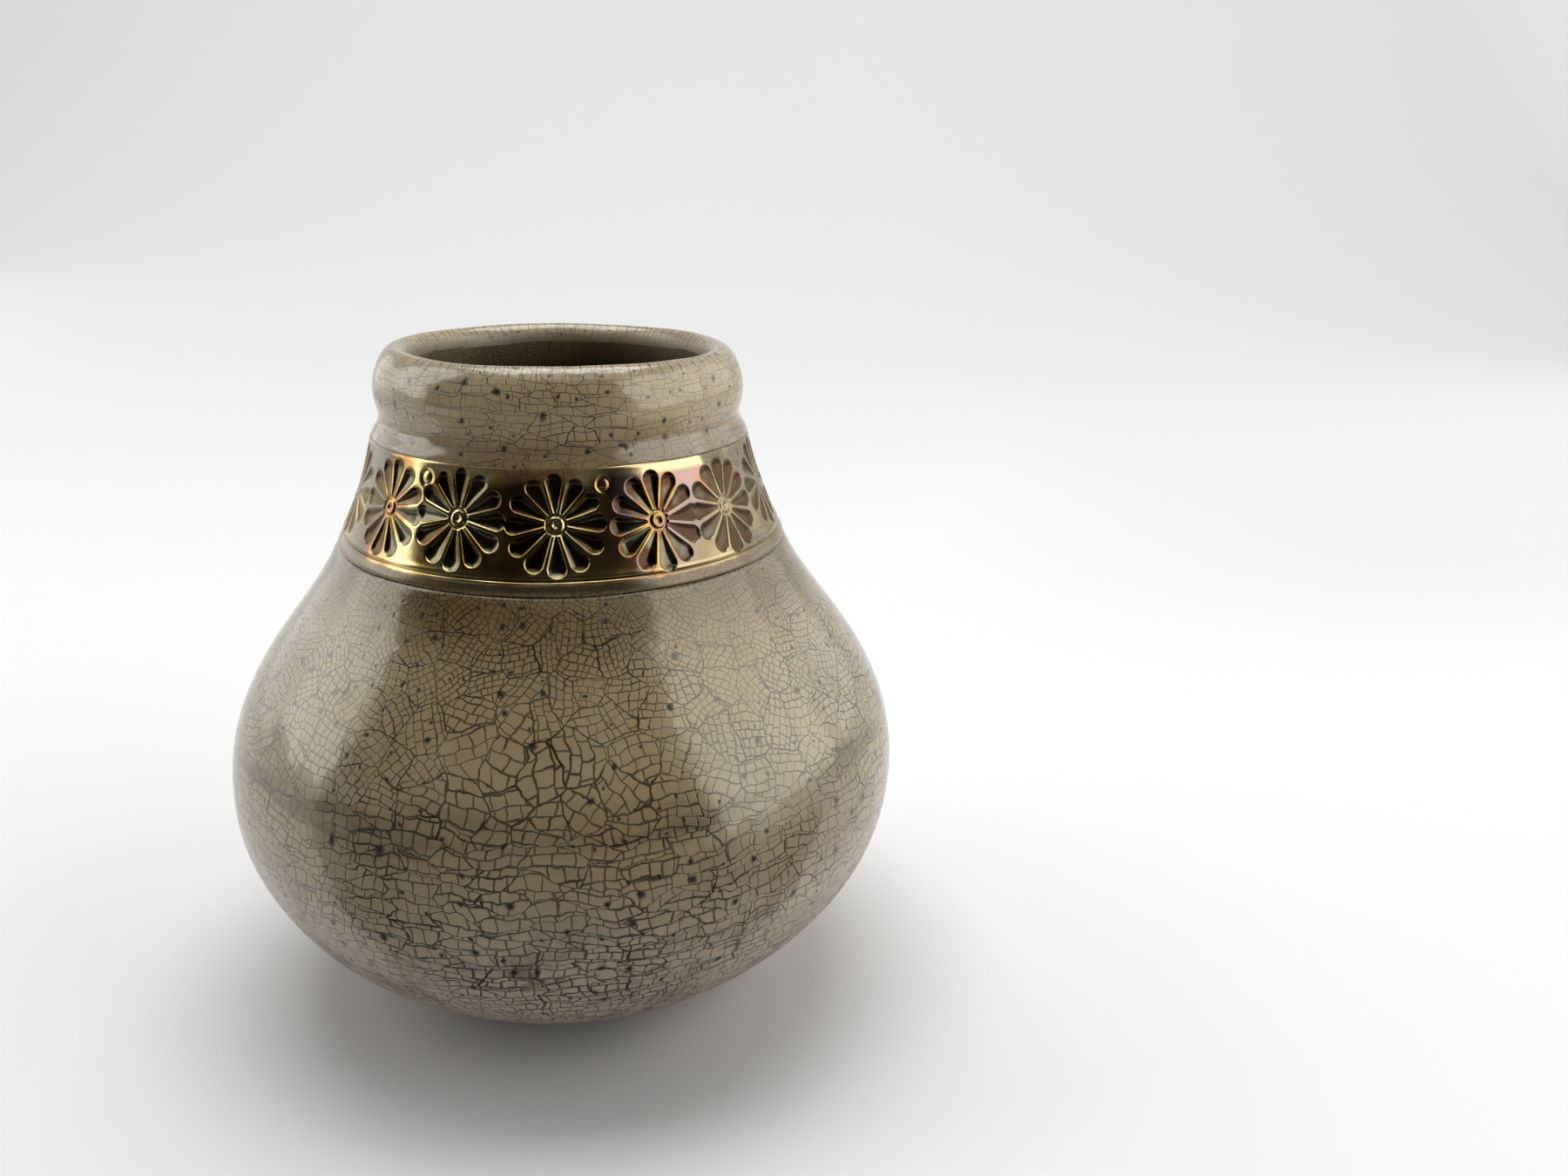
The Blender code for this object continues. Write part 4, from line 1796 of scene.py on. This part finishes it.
@dataclass
class Studio:
    """White sweep, soft panels round the cup, a black flag, a black card of painted floor shade and
    the camera, in metres.
    """

    camera_place: Point = (0.0, -0.1670, 0.1096)
    pan: float = math.radians(10.17)
    pitch: float = math.radians(18.46)
    roll: float = math.radians(1.23)
    focal_pixels: float = 1453.8
    frame_pixels: float = 1800.0
    sensor: float = 36.0
    world_fill: float = 0.10
    world_seen: float = 0.95
    sweep_size: Point = (3.4, 2.4, 1.0)
    sweep_height: float = 2.0
    sweep_curve: float = 0.7
    flag_radius: float = 0.75
    flag_heights: Span = (0.02, 0.66)
    flag_sides: Span = (-93.0, 137.0)
    # Black card on the floor in front, seen only in reflections: painted shade of the front floor.
    shade_card_size: float = 0.6
    shade_card_place: Point = (-0.1, -0.338, 0.002)
    panels: tuple[Panel, ...] = (
        Panel("left_panel", (-0.62, 0.14, 0.40), (0.40, 0.66), 1.9),
        Panel("right_panel", (0.617, -0.212, 0.34), (0.715, 0.66), 1.8),
        Panel("right_back", (0.616, 0.288, 0.34), (0.36, 0.66), 0.8),
        Panel("top_panel", (0.0, 0.16, 0.90), (0.80, 0.56), 4.2),
        Panel("left_back", (-0.53, 0.53, 0.17), (0.46, 0.34), 1.0),
        Panel("back_panel", (0.75, 0.50, 1.10), (2.40, 0.40), 2.6, (0.85, 1.4, 0.78)),
    )

    def build(self) -> None:
        """Set the whole studio up."""
        self.lay_sweep()
        self.hang_flag()
        for panel in self.panels:
            panel.hang()
        self.light_world()
        self.set_camera()

    def lay_sweep(self) -> None:
        """Lay floor and backdrop in one sheet, curved where they meet."""
        Bench.start()
        bpy.ops.mesh.primitive_plane_add(size=1.0, location=(0.0, 0.0, 0.0))
        sweep = bpy.context.object
        sweep.name = "sweep"
        Bench.edit()
        bpy.ops.transform.resize(value=self.sweep_size)
        bpy.ops.object.mode_set(mode="OBJECT")
        mesh = sweep.data
        for vertex in mesh.vertices:
            vertex.select = vertex.co.y > 0.0
        for edge in mesh.edges:
            edge.select = all(mesh.vertices[v].select for v in edge.vertices)
        for polygon in mesh.polygons:
            polygon.select = False
        bpy.ops.object.mode_set(mode="EDIT")
        rise = {"value": (0.0, 0.0, self.sweep_height)}
        bpy.ops.mesh.extrude_edges_move(TRANSFORM_OT_translate=rise)
        bpy.ops.object.mode_set(mode="OBJECT")
        Bench.apply(sweep, "BEVEL", width=self.sweep_curve, segments=24, limit_method="ANGLE")
        bpy.ops.object.shade_smooth()
        mesh.materials.append(Paper().make())

    def hang_flag(self) -> None:
        """Hang a black flag behind the camera, which keeps the front of the glaze dark, and lay a
        black card on the floor in front, seen only in reflections, as painted shade of the floor
        there.
        """
        Bench.start()
        bpy.ops.mesh.primitive_uv_sphere_add(
            segments=72, ring_count=36, radius=self.flag_radius, location=(0.0, 0.0, 0.0)
        )
        flag = bpy.context.object
        flag.name = "flag"
        left, right = (math.radians(angle) for angle in self.flag_sides)
        bottom, top = self.flag_heights
        cuts = (
            (0.0, (math.cos(left), -math.sin(left), 0.0)),
            (0.0, (-math.cos(right), math.sin(right), 0.0)),
            (bottom, (0.0, 0.0, -1.0)),
            (top, (0.0, 0.0, 1.0)),
        )
        bpy.ops.object.mode_set(mode="EDIT")
        for height, outwards in cuts:
            bpy.ops.mesh.select_all(action="SELECT")
            bpy.ops.mesh.bisect(plane_co=(0.0, 0.0, height), plane_no=outwards, clear_outer=True)
        bpy.ops.object.mode_set(mode="OBJECT")
        # A black card seen only in reflections: painted shade of the floor in front of the cup.
        bpy.ops.mesh.primitive_plane_add(size=self.shade_card_size, location=self.shade_card_place)
        shade_card = bpy.context.object
        shade_card.name = "floor_shade_card"
        shade_card.visible_diffuse = False
        shade_card.visible_shadow = False
        cloth = Cloth().make()
        for stage in (flag, shade_card):
            stage.data.materials.append(cloth)
            stage.visible_camera = False

    def light_world(self) -> None:
        """Give a dim fill all round, white where the sweep's ends are seen or mirrored."""
        world = bpy.data.worlds.new("studio")
        bpy.context.scene.world = world
        world.use_nodes = True
        nodes = Nodes(world.node_tree)
        strength = nodes.seen().between(self.world_fill, self.world_seen)
        inputs = {"Color": (1.0, 1.0, 1.0, 1.0), "Strength": strength}
        background = nodes.wire(nodes.node("ShaderNodeBackground", {}, inputs), "Background")
        nodes.node("ShaderNodeOutputWorld", {}, {"Surface": background})

    def set_camera(self) -> None:
        """Put the camera where the photograph was taken from."""
        forward = Vector((
            math.sin(self.pan) * math.cos(self.pitch),
            math.cos(self.pan) * math.cos(self.pitch),
            -math.sin(self.pitch),
        ))
        level = Vector((math.cos(self.pan), -math.sin(self.pan), 0.0))
        upright = level.cross(forward)
        right = math.cos(self.roll) * level + math.sin(self.roll) * upright
        up = math.cos(self.roll) * upright - math.sin(self.roll) * level
        turn = Matrix((right, up, -forward)).transposed().to_4x4()
        lens = bpy.data.cameras.new("camera")
        lens.sensor_width = self.sensor
        lens.lens = self.focal_pixels * self.sensor / self.frame_pixels
        lens.clip_start = 0.01
        camera = bpy.data.objects.new("camera", lens)
        bpy.context.collection.objects.link(camera)
        camera.matrix_world = Matrix.Translation(self.camera_place) @ turn
        bpy.context.scene.camera = camera


def main() -> None:
    """Build, dress and light the cup."""
    logging.basicConfig(level=logging.INFO, format="%(name)s: %(message)s")
    bpy.context.scene.view_settings.view_transform = "Standard"
    levels = Levels()
    band = (levels.band_joint, levels.collar_joint)
    glaze = Glaze(joint_lines=(levels.fillet_joint, levels.band_joint), band=band).make()
    rim_glaze = Glaze(
        "rim_glaze",
        stone=(0.470, 0.378, 0.238),
        olive=(0.405, 0.300, 0.165),
        fume=(0.255, 0.165, 0.075),
        sheen=(1.000, 0.990, 0.880),
        crackle=Crackle(patch=7.5, brick=2.1, aspect=1.3, widths=(0.15, 0.115, 0.11), calm=200.0),
        speck_scale=1.85,
        speck_share=0.50,
        band=band,
        crest=levels.rim.high,
    ).make()
    liner = Liner().make()
    lustre = Lustre(band=band).make()
    clay = BareClay().make()
    pieces = (
        (Vessel(levels), (glaze, liner)),
        (Lip(levels), (rim_glaze, liner)),
        (Fillet(levels), (lustre,)),
        (DaisyBand(levels), (lustre,)),
        (Foot(levels), (clay,)),
    )
    for piece, materials in pieces:
        piece.build()
        piece.dress(*materials)
    Studio().build()


if __name__ == "__main__":
    main()
